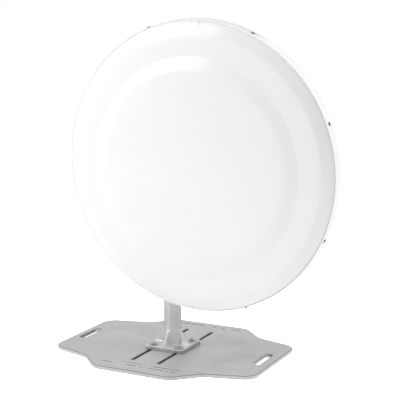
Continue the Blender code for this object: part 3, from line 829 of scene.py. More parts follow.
# The tube takes painted light toward its foot.
POST_FINISH = Galvanised(
    "galvanised_tube",
    Slot.GALVANISED,
    (0.63, 0.63, 0.625),
    spangle=160.0,
    metallic=0.7,
    contrast=0.10,
    streaks=0.5,
    foot_painted_light=0.6,
    foot_span=(0.040, 0.125),
    edge_tint=0.0,
)
WELD_FINISH = WeldMetal("weld_metal", Slot.GALVANISED, (0.92, 0.92, 0.91))
ZINC_FINISH = BareMetal("zinc_plate", Slot.ZINC, (0.62, 0.62, 0.60))
# Painted shade and painted light for the foot bolts' heads, and painted shade for their sockets.
HEAD_SHADE_FINISH = BareMetal("oiled_head", Slot.ZINC, (0.35, 0.35, 0.34), 0.42)
CROWN_LIGHT_FINISH = BareMetal("rubbed_crown", Slot.ZINC, (0.72, 0.72, 0.71), 0.45, 0.5)
OLIVE_FINISH = BareMetal("olive_zinc", Slot.ZINC, (0.42, 0.43, 0.37), 0.45, 0.5)
SOCKET_SHADE_FINISH = BareMetal("socket_floor", Slot.ZINC, (0.16, 0.16, 0.155), 0.6)
CAP_FINISH = DarkMoulding("cap_plastic", Slot.BLACK, (0.025, 0.025, 0.026))


@dataclass(frozen=True)
class Corner:
    """A corner of an outline and the radius it is rounded to."""

    x: float
    y: float
    radius: float = 0.0


def everywhere(_place: Vector, _normal: Vector) -> bool:
    """Pick everything."""
    return True


def clear_selection() -> None:
    """Leave edit mode and deselect every object."""
    if bpy.context.mode != "OBJECT":
        bpy.ops.object.mode_set(mode="OBJECT")
    bpy.ops.object.select_all(action="DESELECT")


class Piece:
    """A piece on the bench, shaped in its own axes by Blender's own tools."""

    def __init__(self, name: str, slot: Slot | None = None) -> None:
        """Take the mesh that was just added.

        Args:
            name: the piece's name.
            slot: the record's slot of its finish, once it has one.
        """
        self.thing: bpy.types.Object = bpy.context.active_object
        self.thing.name = self.thing.data.name = name
        self.slot = slot

    @classmethod
    def drawn(cls, name: str, points: Sequence[Point], is_closed: bool) -> "Piece":
        """Draw a line of points, each pulled out of the one before.

        Args:
            name: the piece's name.
            points: the line's points.
            is_closed: whether the last point is joined to the first.

        Returns:
            The drawn piece.
        """
        clear_selection()
        bpy.ops.mesh.primitive_plane_add(size=TINY, location=points[0], enter_editmode=True)
        bpy.ops.mesh.select_mode(type="VERT")
        bpy.ops.mesh.merge(type="CENTER")
        route = [*points, points[0]] if is_closed else points
        for before, after in zip(route, route[1:]):
            step = Vector(after) - Vector(before)
            bpy.ops.mesh.extrude_region_move(TRANSFORM_OT_translate={"value": step})
        bpy.ops.mesh.select_all(action="SELECT")
        bpy.ops.mesh.remove_doubles(threshold=MERGE)
        return cls(name).settle()

    @classmethod
    def turned(cls, name: str, line: Iterable[Pair], steps: int, is_ring: bool = False) -> "Piece":
        """Spin a line of radius and depth about Z; a ring's line closes on itself."""
        return cls.drawn(name, [(radius, 0, depth) for radius, depth in line], is_ring).spin(steps)

    @classmethod
    def plate(
        cls, name: str, corners: Sequence[Corner], low: float, high: float, steps: int = 6
    ) -> "Piece":
        """Cut a flat plate with rounded corners.

        Args:
            name: the piece's name.
            corners: its outline.
            low: height of its underside.
            high: height of its top.
            steps: number of steps in each rounded corner.

        Returns:
            The plate.
        """
        points = [(corner.x, corner.y, low) for corner in corners]
        reach = {}
        for i, (corner, point) in enumerate(zip(corners, points)):
            before = Vector(points[i - 1]) - Vector(point)
            after = Vector(points[(i + 1) % len(points)]) - Vector(point)
            reach[point] = round(corner.radius / math.tan(before.angle(after) / 2), 6)
        made = cls.drawn(name, points, True)
        made.round_points(reach, steps)
        with made.editing(Part.VERT):
            bpy.ops.mesh.edge_face_add()
            bpy.ops.mesh.extrude_region_move(TRANSFORM_OT_translate={"value": (0, 0, high - low)})
            bpy.ops.mesh.select_all(action="SELECT")
            bpy.ops.mesh.normals_make_consistent(inside=False)
        return made

    @classmethod
    def drum(
        cls, name: str, radius: float, low: float, high: float, sides: int, at: Point = MIDDLE
    ) -> "Piece":
        """Turn a plain drum along Z.

        Args:
            name: the piece's name.
            radius: radius over its corners.
            low: one end.
            high: other end.
            sides: number of sides.
            at: place of its axis.

        Returns:
            The drum.
        """
        clear_selection()
        bpy.ops.mesh.primitive_cylinder_add(
            vertices=sides, radius=radius, depth=high - low, location=(*at, (low + high) / 2)
        )
        return cls(name).settle()

    def take(self) -> None:
        """Make this the one selected and active object."""
        clear_selection()
        self.thing.select_set(True)
        bpy.context.view_layer.objects.active = self.thing

    def settle(self, place: Matrix | None = None) -> "Piece":
        """Put the piece at a place and bring its object back to the origin.

        Args:
            place: where its own axes go, or none to leave it.

        Returns:
            The piece.
        """
        self.take()
        if place is not None:
            self.thing.matrix_world = place @ self.thing.matrix_world
        bpy.ops.object.transform_apply(location=True, rotation=True, scale=True)
        return self

    @contextmanager
    def editing(self, part: Part, test: Test = everywhere) -> Iterator[None]:
        """Work in edit mode on what a test picks.

        Args:
            part: kind of mesh part that is picked.
            test: says from place and normal (direction, for an edge) whether it is picked.

        Yields:
            Nothing: the selection is ready.
        """
        self.take()
        bpy.ops.object.mode_set(mode="EDIT")
        bpy.ops.mesh.select_mode(type=part.name)
        bpy.ops.mesh.select_all(action="DESELECT")
        mesh = bmesh.from_edit_mesh(self.thing.data)
        for item in getattr(mesh, part.value):
            item.select_set(test(*self._where(item)))
        mesh.select_flush_mode()
        bmesh.update_edit_mesh(self.thing.data)
        yield
        bpy.ops.object.mode_set(mode="OBJECT")

    @staticmethod
    def _where(item: Any) -> tuple[Vector, Vector]:
        """Where a mesh part lies and which way it looks.

        Args:
            item: a vertex, edge or face.

        Returns:
            Its place and normal, or an edge's middle and direction.
        """
        if isinstance(item, bmesh.types.BMVert):
            return item.co, item.normal
        if isinstance(item, bmesh.types.BMEdge):
            start, end = (vert.co for vert in item.verts)
            return (start + end) / 2, (end - start).normalized()
        return item.calc_center_median(), item.normal

    def round_points(self, reach: dict[Trio, float], steps: int) -> None:
        """Round points of a drawn line by bevelling them.

        Args:
            reach: how far the rounding goes from each point, zero for a sharp one.
            steps: number of steps in each rounding.
        """
        for length in dict.fromkeys(size for size in reach.values() if size):
            points = [Vector(point) for point, size in reach.items() if size == length]

            def is_point(place: Vector, _normal: Vector) -> bool:
                """Pick the points of this reach."""
                return any((place - point).length < TINY for point in points)

            with self.editing(Part.VERT, is_point):
                bpy.ops.mesh.bevel(
                    offset_type="OFFSET", offset=length, segments=steps, affect="VERTICES"
                )

    def spin(self, steps: int) -> "Piece":
        """Spin the drawn line a full turn about Z and close its seam and poles.

        Args:
            steps: number of steps round.

        Returns:
            The piece.
        """
        with self.editing(Part.VERT):
            bpy.ops.mesh.spin(steps=steps, angle=FULL_TURN, center=(0, 0, 0), axis=(0, 0, 1))
            bpy.ops.mesh.select_all(action="SELECT")
            bpy.ops.mesh.remove_doubles(threshold=MERGE)
            bpy.ops.mesh.normals_make_consistent(inside=False)
        return self

    def change(self, kind: str, **settings: Any) -> "Piece":
        """Add a modifier and apply it.

        Args:
            kind: the modifier's type.
            settings: its settings.

        Returns:
            The piece.
        """
        made = self.thing.modifiers.new(kind, kind)
        for key, value in settings.items():
            setattr(made, key, value)
        self.take()
        bpy.ops.object.modifier_apply(modifier=made.name)
        return self

    def wall(self, thick: float) -> "Piece":
        """Give an open shell its wall, inward from the drawn face."""
        return self.change("SOLIDIFY", thickness=thick, offset=-1.0)

    def soften(
        self, width: float, angle: float = EDGE_ANGLE, look: int = -1, is_held: bool = True
    ) -> "Piece":
        """Break the sharp edges with a bevel.

        Args:
            width: width of the bevel.
            angle: edges sharper than this are broken.
            look: index of the finish that the new faces take, or -1 for their neighbours'.
            is_held: whether the width stays under half of the shortest edge.

        Returns:
            The piece.
        """
        settings = {"width": width, "segments": BEVEL_STEPS, "material": look}
        settings |= {"limit_method": "ANGLE", "angle_limit": angle, "use_clamp_overlap": is_held}
        return self.change("BEVEL", **settings)

    def cut(self, *tools: "Piece", way: Way = Way.CUT) -> "Piece":
        """Cut other pieces from this one, or combine them in another way.

        Args:
            tools: the other pieces, which are used up.
            way: how they are combined.

        Returns:
            The piece.
        """
        for tool in tools:
            self.change("BOOLEAN", operation=way.value, solver="EXACT", object=tool.thing)
            scrap(tool)
        return self

    def bore(
        self,
        places: Iterable[Point],
        radius: float,
        sides: int = 24,
        low: float = -THROUGH,
        laid: Matrix | None = None,
    ) -> "Piece":
        """Bore round holes along Z.

        Args:
            places: places of the holes.
            radius: their radius.
            sides: their number of sides.
            low: bottom of a blind hole.
            laid: where the drill's own axes go, or none to leave them.

        Returns:
            The piece.
        """
        for place in places:
            self.cut(Piece.drum("drill", radius, low, THROUGH, sides, place).settle(laid))
        return self

    def paint(self, finish: Finish, test: Test = everywhere) -> "Piece":
        """Give a finish to the faces that a test picks.

        Args:
            finish: the finish.
            test: says from place and normal whether a face takes it.

        Returns:
            The piece.
        """
        materials = self.thing.data.materials
        material = material_of(finish)
        if material.name not in materials:
            materials.append(material)
        with self.editing(Part.FACE, test):
            self.thing.active_material_index = materials.find(material.name)
            bpy.ops.object.material_slot_assign()
        self.slot = finish.slot
        return self

    def copy(self, name: str, place: Matrix) -> "Piece":
        """Copy the piece, with a mesh of its own, to another place.

        Args:
            name: the copy's name.
            place: where the piece's own axes go.

        Returns:
            The copy.
        """
        self.take()
        bpy.ops.object.duplicate(linked=False)
        return Piece(name, self.slot).settle(place)

    def hand_over(self, *nodes: str) -> None:
        """Shade the piece and fix it to the antenna.

        Args:
            nodes: the solids that it stands for.
        """
        self.take()
        bpy.ops.object.shade_smooth_by_angle(angle=SMOOTH_ANGLE)
        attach(self.thing, BODY)
        if nodes:
            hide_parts(*nodes)
        LOG.info("%s: %d faces", self.thing.name, len(self.thing.data.polygons))


def scrap(*pieces: Piece) -> None:
    """Take pieces off the bench."""
    for piece in pieces:
        bpy.data.objects.remove(piece.thing, do_unlink=True)


def set_out(patterns: dict[str, Piece], places: dict[str, Matrix]) -> dict[str, Piece]:
    """Copy pattern pieces to their places, hand the copies over and scrap the patterns.

    Args:
        patterns: the patterns by the ending of their copies' names.
        places: frames of the copies by the solid that they stand for.

    Returns:
        The copies by name.
    """
    made = {}
    for node, place in places.items():
        for ending, pattern in patterns.items():
            name = f"{node}_{ending}"
            made[name] = pattern.copy(name, place)
            made[name].hand_over(node)
    scrap(*patterns.values())
    return made


def square(rows: Sequence[str], x: float, y: float) -> dict[str, Pair]:
    """A rectangle's corners by row and side, from names of its rows and half its two sizes."""
    sides = (("left", -x), ("right", x))
    return {f"{row}_{side}": (u, v) for row, v in zip(rows, (-y, y)) for side, u in sides}


def rectangle(half_x: float, half_y: float, radius: float, at: Point = MIDDLE) -> list[Corner]:
    """The outline of a rectangle with rounded corners."""
    return [Corner(at[0] + i * half_x, at[1] + j * half_y, radius) for i, j in QUARTERS]


def hexagon(
    name: str, radius: float, low: float, high: float, is_low: bool = False, is_high: bool = False
) -> Piece:
    """A hexagon for a bolt head, nut or socket, its corners turned down at one end or neither.

    Args:
        name: the piece's name.
        radius: radius over its corners.
        low: one end.
        high: other end.
        is_low: whether the low end is turned down.
        is_high: whether the high end is turned down.

    Returns:
        The hexagon.
    """
    fall, inner, outer = radius * HEXAGON_FALL, radius * HEXAGON_FACE, radius * HEXAGON_OVER
    line = [(0, low)]
    line += [(inner, low), (outer, low + fall)] if is_low else [(outer, low)]
    line += [(outer, high - fall), (inner, high)] if is_high else [(outer, high)]
    skin = Piece.turned(f"{name}_skin", [*line, (0, high)], 36)
    return Piece.drum(name, radius, low, high, 6).cut(skin, way=Way.KEEP)


def threaded(name: str, radius: float, low: float, high: float) -> Piece:
    """A rod with ring grooves for its thread and turned-down ends.

    Args:
        name: the piece's name.
        radius: radius over the thread.
        low: one end.
        high: other end.

    Returns:
        The rod.
    """
    root = radius - THREAD_PITCH / 2
    line = [(0, low), (root, low)]
    for k in range(int((high - low) / THREAD_PITCH) - 1):
        at = low + THREAD_PITCH * (k + CREST_START)
        crest = at + THREAD_PITCH * CREST_LENGTH
        line += [(radius, at), (radius, crest), (root, at + THREAD_PITCH / 2)]
    return Piece.turned(name, [*line, (root, high), (0, high)], 20)


def washer(name: str, outer: float, hole: float, low: float, high: float) -> Piece:
    """A flat washer with a broken edge.

    Args:
        name: the piece's name.
        outer: its outer radius.
        hole: its hole's radius.
        low: underside.
        high: top.

    Returns:
        The washer.
    """
    edge = (high - low) * WASHER_EDGE
    line = [(hole, low), (outer - edge, low), (outer, low + edge)]
    line += [(outer, high - edge), (outer - edge, high), (hole, high)]
    return Piece.turned(name, line, 40, is_ring=True)


@dataclass
class BasePlate:
    """The waisted base plate with its hand slots and the long slots of the foot bolts."""

    middle_x: float = 0.004
    end: Corner = Corner(0.408, 0.191, 0.050)
    neck: Corner = Corner(0.238, 0.239, 0.057)
    ear: Corner = Corner(0.152, 0.3255, 0.048)
    thick: float = 0.012
    hand_slot: Trio = (0.364, 0.066, 0.026)
    long_slot_x: float = 0.053
    long_slot_ends: Pair = (-0.215, 0.220)
    long_slot_width: float = 0.013
    channel_width: float = 0.022
    channel_height: float = 0.0071
    edge: float = 0.0014

    def outline(self) -> list[Corner]:
        """The twelve corners of the plate.

        Returns:
            The corners, counter-clockwise.
        """
        outline = []
        for x, y in QUARTERS:
            corners = (self.end, self.neck, self.ear)[:: x * y]
            outline += [Corner(self.middle_x + x * c.x, y * c.y, c.radius) for c in corners]
        return outline

    def slot(self, at: Point, half: float, width: float, high: float) -> Piece:
        """A round-ended cutter along Y, from below the plate up to a height."""
        corners = rectangle(width / 2, half, width / 2 - TINY, at)
        return Piece.plate("slot_cut", corners, -2 * self.thick, high, steps=8)

    def build(self) -> None:
        """Model, cut and dress the plate."""
        plate = Piece.plate("plate_body", self.outline(), 0, self.thick, steps=10)
        slot_x, slot_half, slot_width = self.hand_slot
        front, back = self.long_slot_ends
        half = (back - front) / 2
        wider = half + (self.channel_width - self.long_slot_width) / 2
        over = self.thick * 2
        for side in (-1, 1):
            at = (side * self.long_slot_x, (front + back) / 2)
            plate.cut(
                self.slot((side * slot_x, 0), slot_half, slot_width, over),
                self.slot(at, half, self.long_slot_width, over),
                self.slot(at, wider, self.channel_width, self.channel_height),
            )
        # The bevels round every edge take a near-black finish as painted shade.
        plate.paint(PLATE_FINISH).paint(PLATE_EDGE_SHADE_FINISH, lambda _place, _normal: False)
        plate.soften(self.edge, look=1, is_held=False)
        plate.paint(PLATE_SIDE_FINISH, self.is_side)
        plate.paint(SLOT_WALL_FINISH, self.is_long_slot_wall)
        # Painted shade on the hand slots' walls.
        plate.paint(HAND_WALL_SHADE_FINISH, self.is_shaded_hand_wall)
        plate.paint(HAND_END_FINISH, self.is_grey_hand_end)
        plate.hand_over("base_plate")

    def is_side(self, place: Vector, normal: Vector) -> bool:
        """Pick the upright faces round the plate and in its slots."""
        return abs(normal.z) < UPRIGHT and self.edge < place.z < self.thick - self.edge

    def is_hand_wall(self, place: Vector, normal: Vector, is_back: bool) -> bool:
        """Pick the walls of the two hand slots.

        Args:
            place: a face's middle.
            normal: its normal.
            is_back: whether the walls of the back ends are wanted, or the others.

        Returns:
            Whether the face is one of them.
        """
        slot_x, slot_half, slot_width = self.hand_slot
        inside = abs(abs(place.x) - slot_x) < slot_width / 2 + TINY
        inside = inside and abs(place.y) < slot_half + TINY and self.is_side(place, normal)
        return inside and (place.y > slot_half - slot_width / 2 + TINY) == is_back

    def is_shaded_hand_wall(self, place: Vector, normal: Vector) -> bool:
        """Pick the left hand slot's straight walls and the right one's back right corner, which
        take painted shade.
        """
        is_corner = place.x > self.hand_slot[0] + TINY and self.is_hand_wall(place, normal, True)
        return is_corner or (place.x < 0 and self.is_hand_wall(place, normal, False))

    def is_grey_hand_end(self, place: Vector, normal: Vector) -> bool:
        """Pick the back end of the left hand slot."""
        return place.x < 0 and self.is_hand_wall(place, normal, True)

    def is_long_slot_wall(self, place: Vector, normal: Vector) -> bool:
        """Pick the walls and the channels of the two long slots.

        Args:
            place: a face's middle.
            normal: its normal.

        Returns:
            Whether the face is one of them.
        """
        near = abs(abs(place.x) - self.long_slot_x) < self.channel_width
        front, back = self.long_slot_ends
        inside = near and front - self.channel_width < place.y < back + self.channel_width
        is_wall = abs(normal.z) < 0.5 or place.z > self.edge * 2
        return inside and is_wall and place.z < self.thick - self.edge


@dataclass
class Foot:
    """The bolted flange, the gussets, their welds, the foot bolts and the post."""

    side: float = 0.156
    low: float = 0.0123
    high: float = 0.0258
    corner: float = 0.010
    edge: float = 0.0011
    hole: float = 0.0068
    bolt_place: float = 0.053
    post_radius: float = 0.0322
    post_wall: float = 0.0036
    post_top: float = 0.900
    post_edge: float = 0.0006
    cap_skirt: float = 0.018
    gusset_reach: float = 0.0715
    gusset_height: float = 0.052
    gusset_toe: float = 0.005
    gusset_land: float = 0.004
    gusset_thick: float = 0.007
    gusset_nick: float = 0.005
    gusset_round: float = 0.002
    gusset_edge: float = 0.0008
    edge_rise: float = 0.2
    bead: float = 0.0030
    bead_end: float = 0.002
    bead_ripple: float = 0.86
    bead_tip: float = 0.6
    top_bead: float = 1.25
    ring_ripple: float = 0.12
    bead_pitch: float = 0.0016
    bead_steps: int = 144
    washer: float = 0.0185
    washer_thick: float = 0.0025
    head_radius: float = 0.0095
    head_height: float = 0.0044
    socket: float = 0.0050
    socket_depth: float = 0.0030
    crown_rise: float = 0.6
    shank: float = 0.0060
    shank_edge: float = 0.0006
    shank_low: float = 0.0004
    nut_radius: float = 0.01095
    nut_span: Pair = (0.0010, 0.0068)
    nut_play: float = 0.0002

    def build(self) -> None:
        """Model and dress every piece of the foot."""
        self.build_flange()
        self.build_post()
        self.build_cap()
        self.build_gussets()
        self.build_welds()
        self.build_ring_weld()
        self.build_bolts()

    def bolt_places(self) -> dict[str, Pair]:
        """The foot bolts' places about the post, by row and side."""
        return square(("front", "back"), self.bolt_place, self.bolt_place)

    def build_flange(self) -> None:
        """The square flange with four bolt holes."""
        half = self.side / 2
        outline = rectangle(half, half, self.corner)
        flange = Piece.plate("flange_body", outline, self.low, self.high, steps=8)
        flange.bore(self.bolt_places().values(), self.hole, sides=32)
        flange.soften(self.edge, is_held=False).settle(ON_FOOT).paint(STEEL_FINISH)
        # Painted shade: the flange's upright sides are made darker than its top.
        flange.paint(FLANGE_SIDE_SHADE_FINISH, lambda _place, normal: abs(normal.z) < UPRIGHT)
        flange.hand_over("foot_flange")

    def build_post(self) -> None:
        """The post tube with a broken edge at its top."""
        foot = self.high + GAP
        inner = self.post_radius - self.post_wall
        line = [(inner, foot), (self.post_radius, foot)]
        line += [(self.post_radius, self.post_top - self.post_edge)]
        line += [(self.post_radius - self.post_edge, self.post_top), (inner, self.post_top)]
        post = Piece.turned("post_tube", line, 72, is_ring=True).settle(ON_FOOT)
        post.paint(POST_FINISH).hand_over("post")

    def build_cap(self) -> None:
        """The moulded cap whose skirt is pressed into the post."""
        seat = self.post_top + GAP
        radius = self.post_radius
        skirt = radius - self.post_wall - GAP
        foot = seat - self.cap_skirt
        line = [(0, seat + 0.0040), (radius * 0.72, seat + 0.0040), (radius * 0.78, seat + 0.0034)]
        line += [(radius - 0.0028, seat + 0.0034), (radius - 0.0008, seat + 0.0026)]
        line += [(radius, seat + 0.0012), (radius, seat), (skirt, seat), (skirt, foot + 0.001)]
        line += [(skirt - 0.0008, foot), (skirt - 0.0025, foot), (skirt - 0.0025, seat), (0, seat)]
        cap = Piece.turned("post_cap_moulding", line, 64).settle(ON_FOOT)
        cap.paint(CAP_FINISH).hand_over("post_cap")

    def gusset_places(self) -> dict[str, Matrix]:
        """Frames of the four gussets by name."""
        names = ("right", "back", "left", "front")
        return {name: ON_FOOT @ turn(k * QUARTER_TURN, "Z") for k, name in enumerate(names)}

    def build_gussets(self) -> None:
        """Four sloped gussets between flange and post; the right one takes painted light."""
        low = self.high + GAP
        root = self.post_radius + GAP
        top = low + self.gusset_height
        outline = [
            Corner(root + self.gusset_nick, low),
            Corner(self.gusset_reach, low),
            Corner(self.gusset_reach, low + self.gusset_toe),
            Corner(root + self.gusset_land, top, self.gusset_round),
            Corner(root, top),
            Corner(root, low + self.gusset_nick),
        ]
        half = self.gusset_thick / 2
        plate = Piece.plate("gusset_pattern", outline, -half, half, steps=3)
        plate.soften(self.gusset_edge).settle(turn(QUARTER_TURN, "X")).paint(GUSSET_FINISH)
        places = {f"gusset_{name}": place for name, place in self.gusset_places().items()}
        made = set_out({"plate": plate}, places)
        # Painted light: the right gusset is made lighter all over.
        made["gusset_right_plate"].paint(LIT_GUSSET_FINISH)

        def is_sloped_edge(_place: Vector, normal: Vector) -> bool:
            """Pick the faces that look up and to the right, which take painted shade."""
            return min(normal.x, normal.z) > self.edge_rise

        # Painted shade on every gusset's sloped edge.
        for gusset in made.values():
            gusset.paint(GUSSET_EDGE_SHADE_FINISH, is_sloped_edge)

    def rippled_bead(self, name: str, length: float, radius: float) -> Piece:
        """A straight weld bead along Z whose rings swell and shrink.

        Args:
            name: the bead's name.
            length: its length.
            radius: its radius.

        Returns:
            The bead.
        """
        count = max(4, int(length / self.bead_pitch))
        tip = radius * self.bead_tip
        line = [(0, 0), (tip, GAP)]
        for k in range(count):
            swell = 1.0 if k % 2 else self.bead_ripple
            line.append((radius * swell, length * (k + 0.5) / count))
        line += [(tip, length - GAP), (0, length)]
        return Piece.turned(name, line, 12).paint(WELD_FINISH)

    def build_welds(self) -> None:
        """Beads up both sides of each gusset, along its foot and over its top."""
        low = self.high + GAP
        root = self.post_radius
        half = self.gusset_thick / 2
        nick = self.gusset_nick
        sink = self.bead / 4
        end = self.bead_end
        reach = self.gusset_reach - root - nick - end
        up = self.rippled_bead("bead_up", self.gusset_height - nick, self.bead)
        along = self.rippled_bead("bead_along", reach, self.bead)
        wide = self.gusset_thick + 2 * end
        over = self.rippled_bead("bead_top", wide, self.bead * self.top_bead)
        for name, place in self.gusset_places().items():
            for way, side in ((-1, "a"), (1, "b")):
                offset = way * (half + sink)
                upright = place @ shift(root + sink, offset, low + nick)
                up.copy(f"weld_up_{name}_{side}", upright).hand_over()
                lying = place @ shift(root + nick, offset, low + sink) @ DEPTH_TO_X
                along.copy(f"weld_along_{name}_{side}", lying).hand_over()
            top = place @ shift(root + sink, half + end, low + self.gusset_height)
            over.copy(f"weld_top_{name}", top @ turn(QUARTER_TURN, "X")).hand_over()
        scrap(up, along, over)

    def build_ring_weld(self) -> None:
        """The bead round the post's foot, every second ring of its points drawn in."""
        sink = self.bead / 4
        clear_selection()
        bpy.ops.mesh.primitive_torus_add(
            major_radius=self.post_radius + sink,
            minor_radius=self.bead,
            major_segments=self.bead_steps,
            minor_segments=12,
            location=(0, 0, self.high + GAP + sink),
        )
        ring = Piece("weld_ring").settle()

        def every_other(place: Vector, _normal: Vector) -> bool:
            """Pick every second ring of points."""
            return round(math.atan2(place.y, place.x) / FULL_TURN * self.bead_steps) % 2 == 0

        with ring.editing(Part.VERT, every_other):
            bpy.ops.transform.shrink_fatten(value=-self.bead * self.ring_ripple)
        ring.settle(ON_FOOT).paint(WELD_FINISH).hand_over()

    def build_bolts(self) -> None:
        """Foot bolts: low heads with a hexagon socket, washers and nuts; one has gone olive."""
        seat = self.high + GAP
        head = seat + self.washer_thick
        top = head + self.head_height
        radius, shank, low = self.head_radius, self.shank, self.shank_low
        line = [(0, top), (radius * 0.60, top), (radius * 0.64, top - 0.0002)]
        line += [(radius * 0.80, top - 0.0007), (radius * 0.93, top - 0.0016)]
        line += [(radius, top - 0.0030), (radius, head), (shank, head)]
        line += [(shank, low + self.shank_edge), (shank - self.shank_edge, low), (0, low)]
        bolt = Piece.turned("bolt_pattern", line, 48)
        bolt.cut(hexagon("socket_cut", self.socket, top - self.socket_depth, top + 0.01))
        # Painted shade on the head's sides and painted light on its crown.
        bolt.paint(HEAD_SHADE_FINISH)
        bolt.paint(CROWN_LIGHT_FINISH, lambda _place, normal: normal.z > self.crown_rise)

        # Painted shade in the socket.
        def is_socket(place: Vector, _normal: Vector) -> bool:
            """Pick the faces sunk into the head."""
            return place.xy.length < self.socket and place.z < top - TINY

        patterns = {
            "screw": bolt.paint(SOCKET_SHADE_FINISH, is_socket),
            "washer": washer("ring", self.washer, shank + 2 * GAP, seat, head - GAP / 3),
            "nut": hexagon("nut", self.nut_radius, *self.nut_span, is_low=True),
        }
        patterns["nut"].bore([MIDDLE], shank + self.nut_play).paint(ZINC_FINISH)
        patterns["washer"].paint(ZINC_FINISH)
        places = self.bolt_places().items()
        stands = {f"foot_bolt_{name}": ON_FOOT @ shift(*place) for name, place in places}
        made = set_out(patterns, stands)
        for ending in ("screw", "washer"):
            made[f"foot_bolt_front_right_{ending}"].paint(OLIVE_FINISH)


@dataclass
class Radome:
    """The stepped white shell, the ring round it and the seal between them."""

    radius: float = 0.4835
    wall: float = 0.003
    dome_share: float = 0.66
    dome_rise: float = 0.0339
    dome_top: float = -0.0500
    dome_steps: int = 12
    bends: tuple[Trio, ...] = (
        (0.690, -0.0330, 0.006),
        (0.768, -0.0233, 0.006),
        (0.850, -0.0200, 0.0),
        (0.917, -0.0163, 0.006),
        (0.986, -0.0028, 0.003),
    )
    skirt_back: float = 0.0220
    edge_depth: float = 0.0015
    ring_front: float = 0.4865
    ring_lip: float = 0.0013
    ring_back: float = 0.0235
    ring_step: float = 0.0100
    rim_radius: float = 0.4902
    steps: int = 216

    def build(self) -> None:
        """Model and dress shell, seal and ring."""
        self.build_shell()
        self.build_ring()
        self.build_seal()

    def build_shell(self) -> None:
        """The shell: a slight dome, then steps with rounded bends, spun and given its wall."""
        shares = [self.dome_share * k / self.dome_steps for k in range(self.dome_steps + 1)]
        line = [(share, self.dome_top + self.dome_rise * share**2, 0.0) for share in shares]
        line += [*self.bends, (1.0, self.edge_depth, 0.0), (1.0, self.skirt_back, 0.0)]
        reach = {(share * self.radius, 0.0, depth): bend for share, depth, bend in line}
        shell = Piece.drawn("radome_shell", list(reach), False)
        shell.round_points(reach, 4)
        shell.spin(self.steps).wall(self.wall).settle(ON_DISH)
        shell.paint(RADOME_FINISH).hand_over("radome")

    def build_ring(self) -> None:
        """The white ring whose lip stands a little off the radome's edge."""
        groove = self.ring_front - self.ring_lip
        inner = self.radius + GAP
        outer = self.rim_radius - 2 * GAP
        line = [(groove, 0.0004), (groove + 0.0004, 0.0), (self.ring_front - 0.0005, 0.0)]
        line += [(self.ring_front, 0.0006), (outer, self.ring_back - 0.0005)]
        line += [(outer - 0.0005, self.ring_back), (inner, self.ring_back)]
        line += [(inner, self.ring_step), (groove, self.ring_step)]
        ring = Piece.turned("rim_ring_band", line, self.steps, is_ring=True).settle(ON_DISH)
        ring.paint(RING_FINISH).hand_over("rim_ring")

    def build_seal(self) -> None:
        """The seal that fills the groove between radome and ring."""
        inner = self.radius + GAP / 3
        outer = self.ring_front - self.ring_lip - GAP / 3
        back = self.ring_step - GAP
        line = [(inner, self.edge_depth + 0.0002), (self.radius + 0.0008, self.edge_depth - 0.0002)]
        line += [(outer, self.edge_depth - 0.0008), (outer, back), (inner, back)]
        seal = Piece.turned("edge_seal", line, self.steps, is_ring=True).settle(ON_DISH)
        seal.paint(SEAL_FINISH).hand_over()


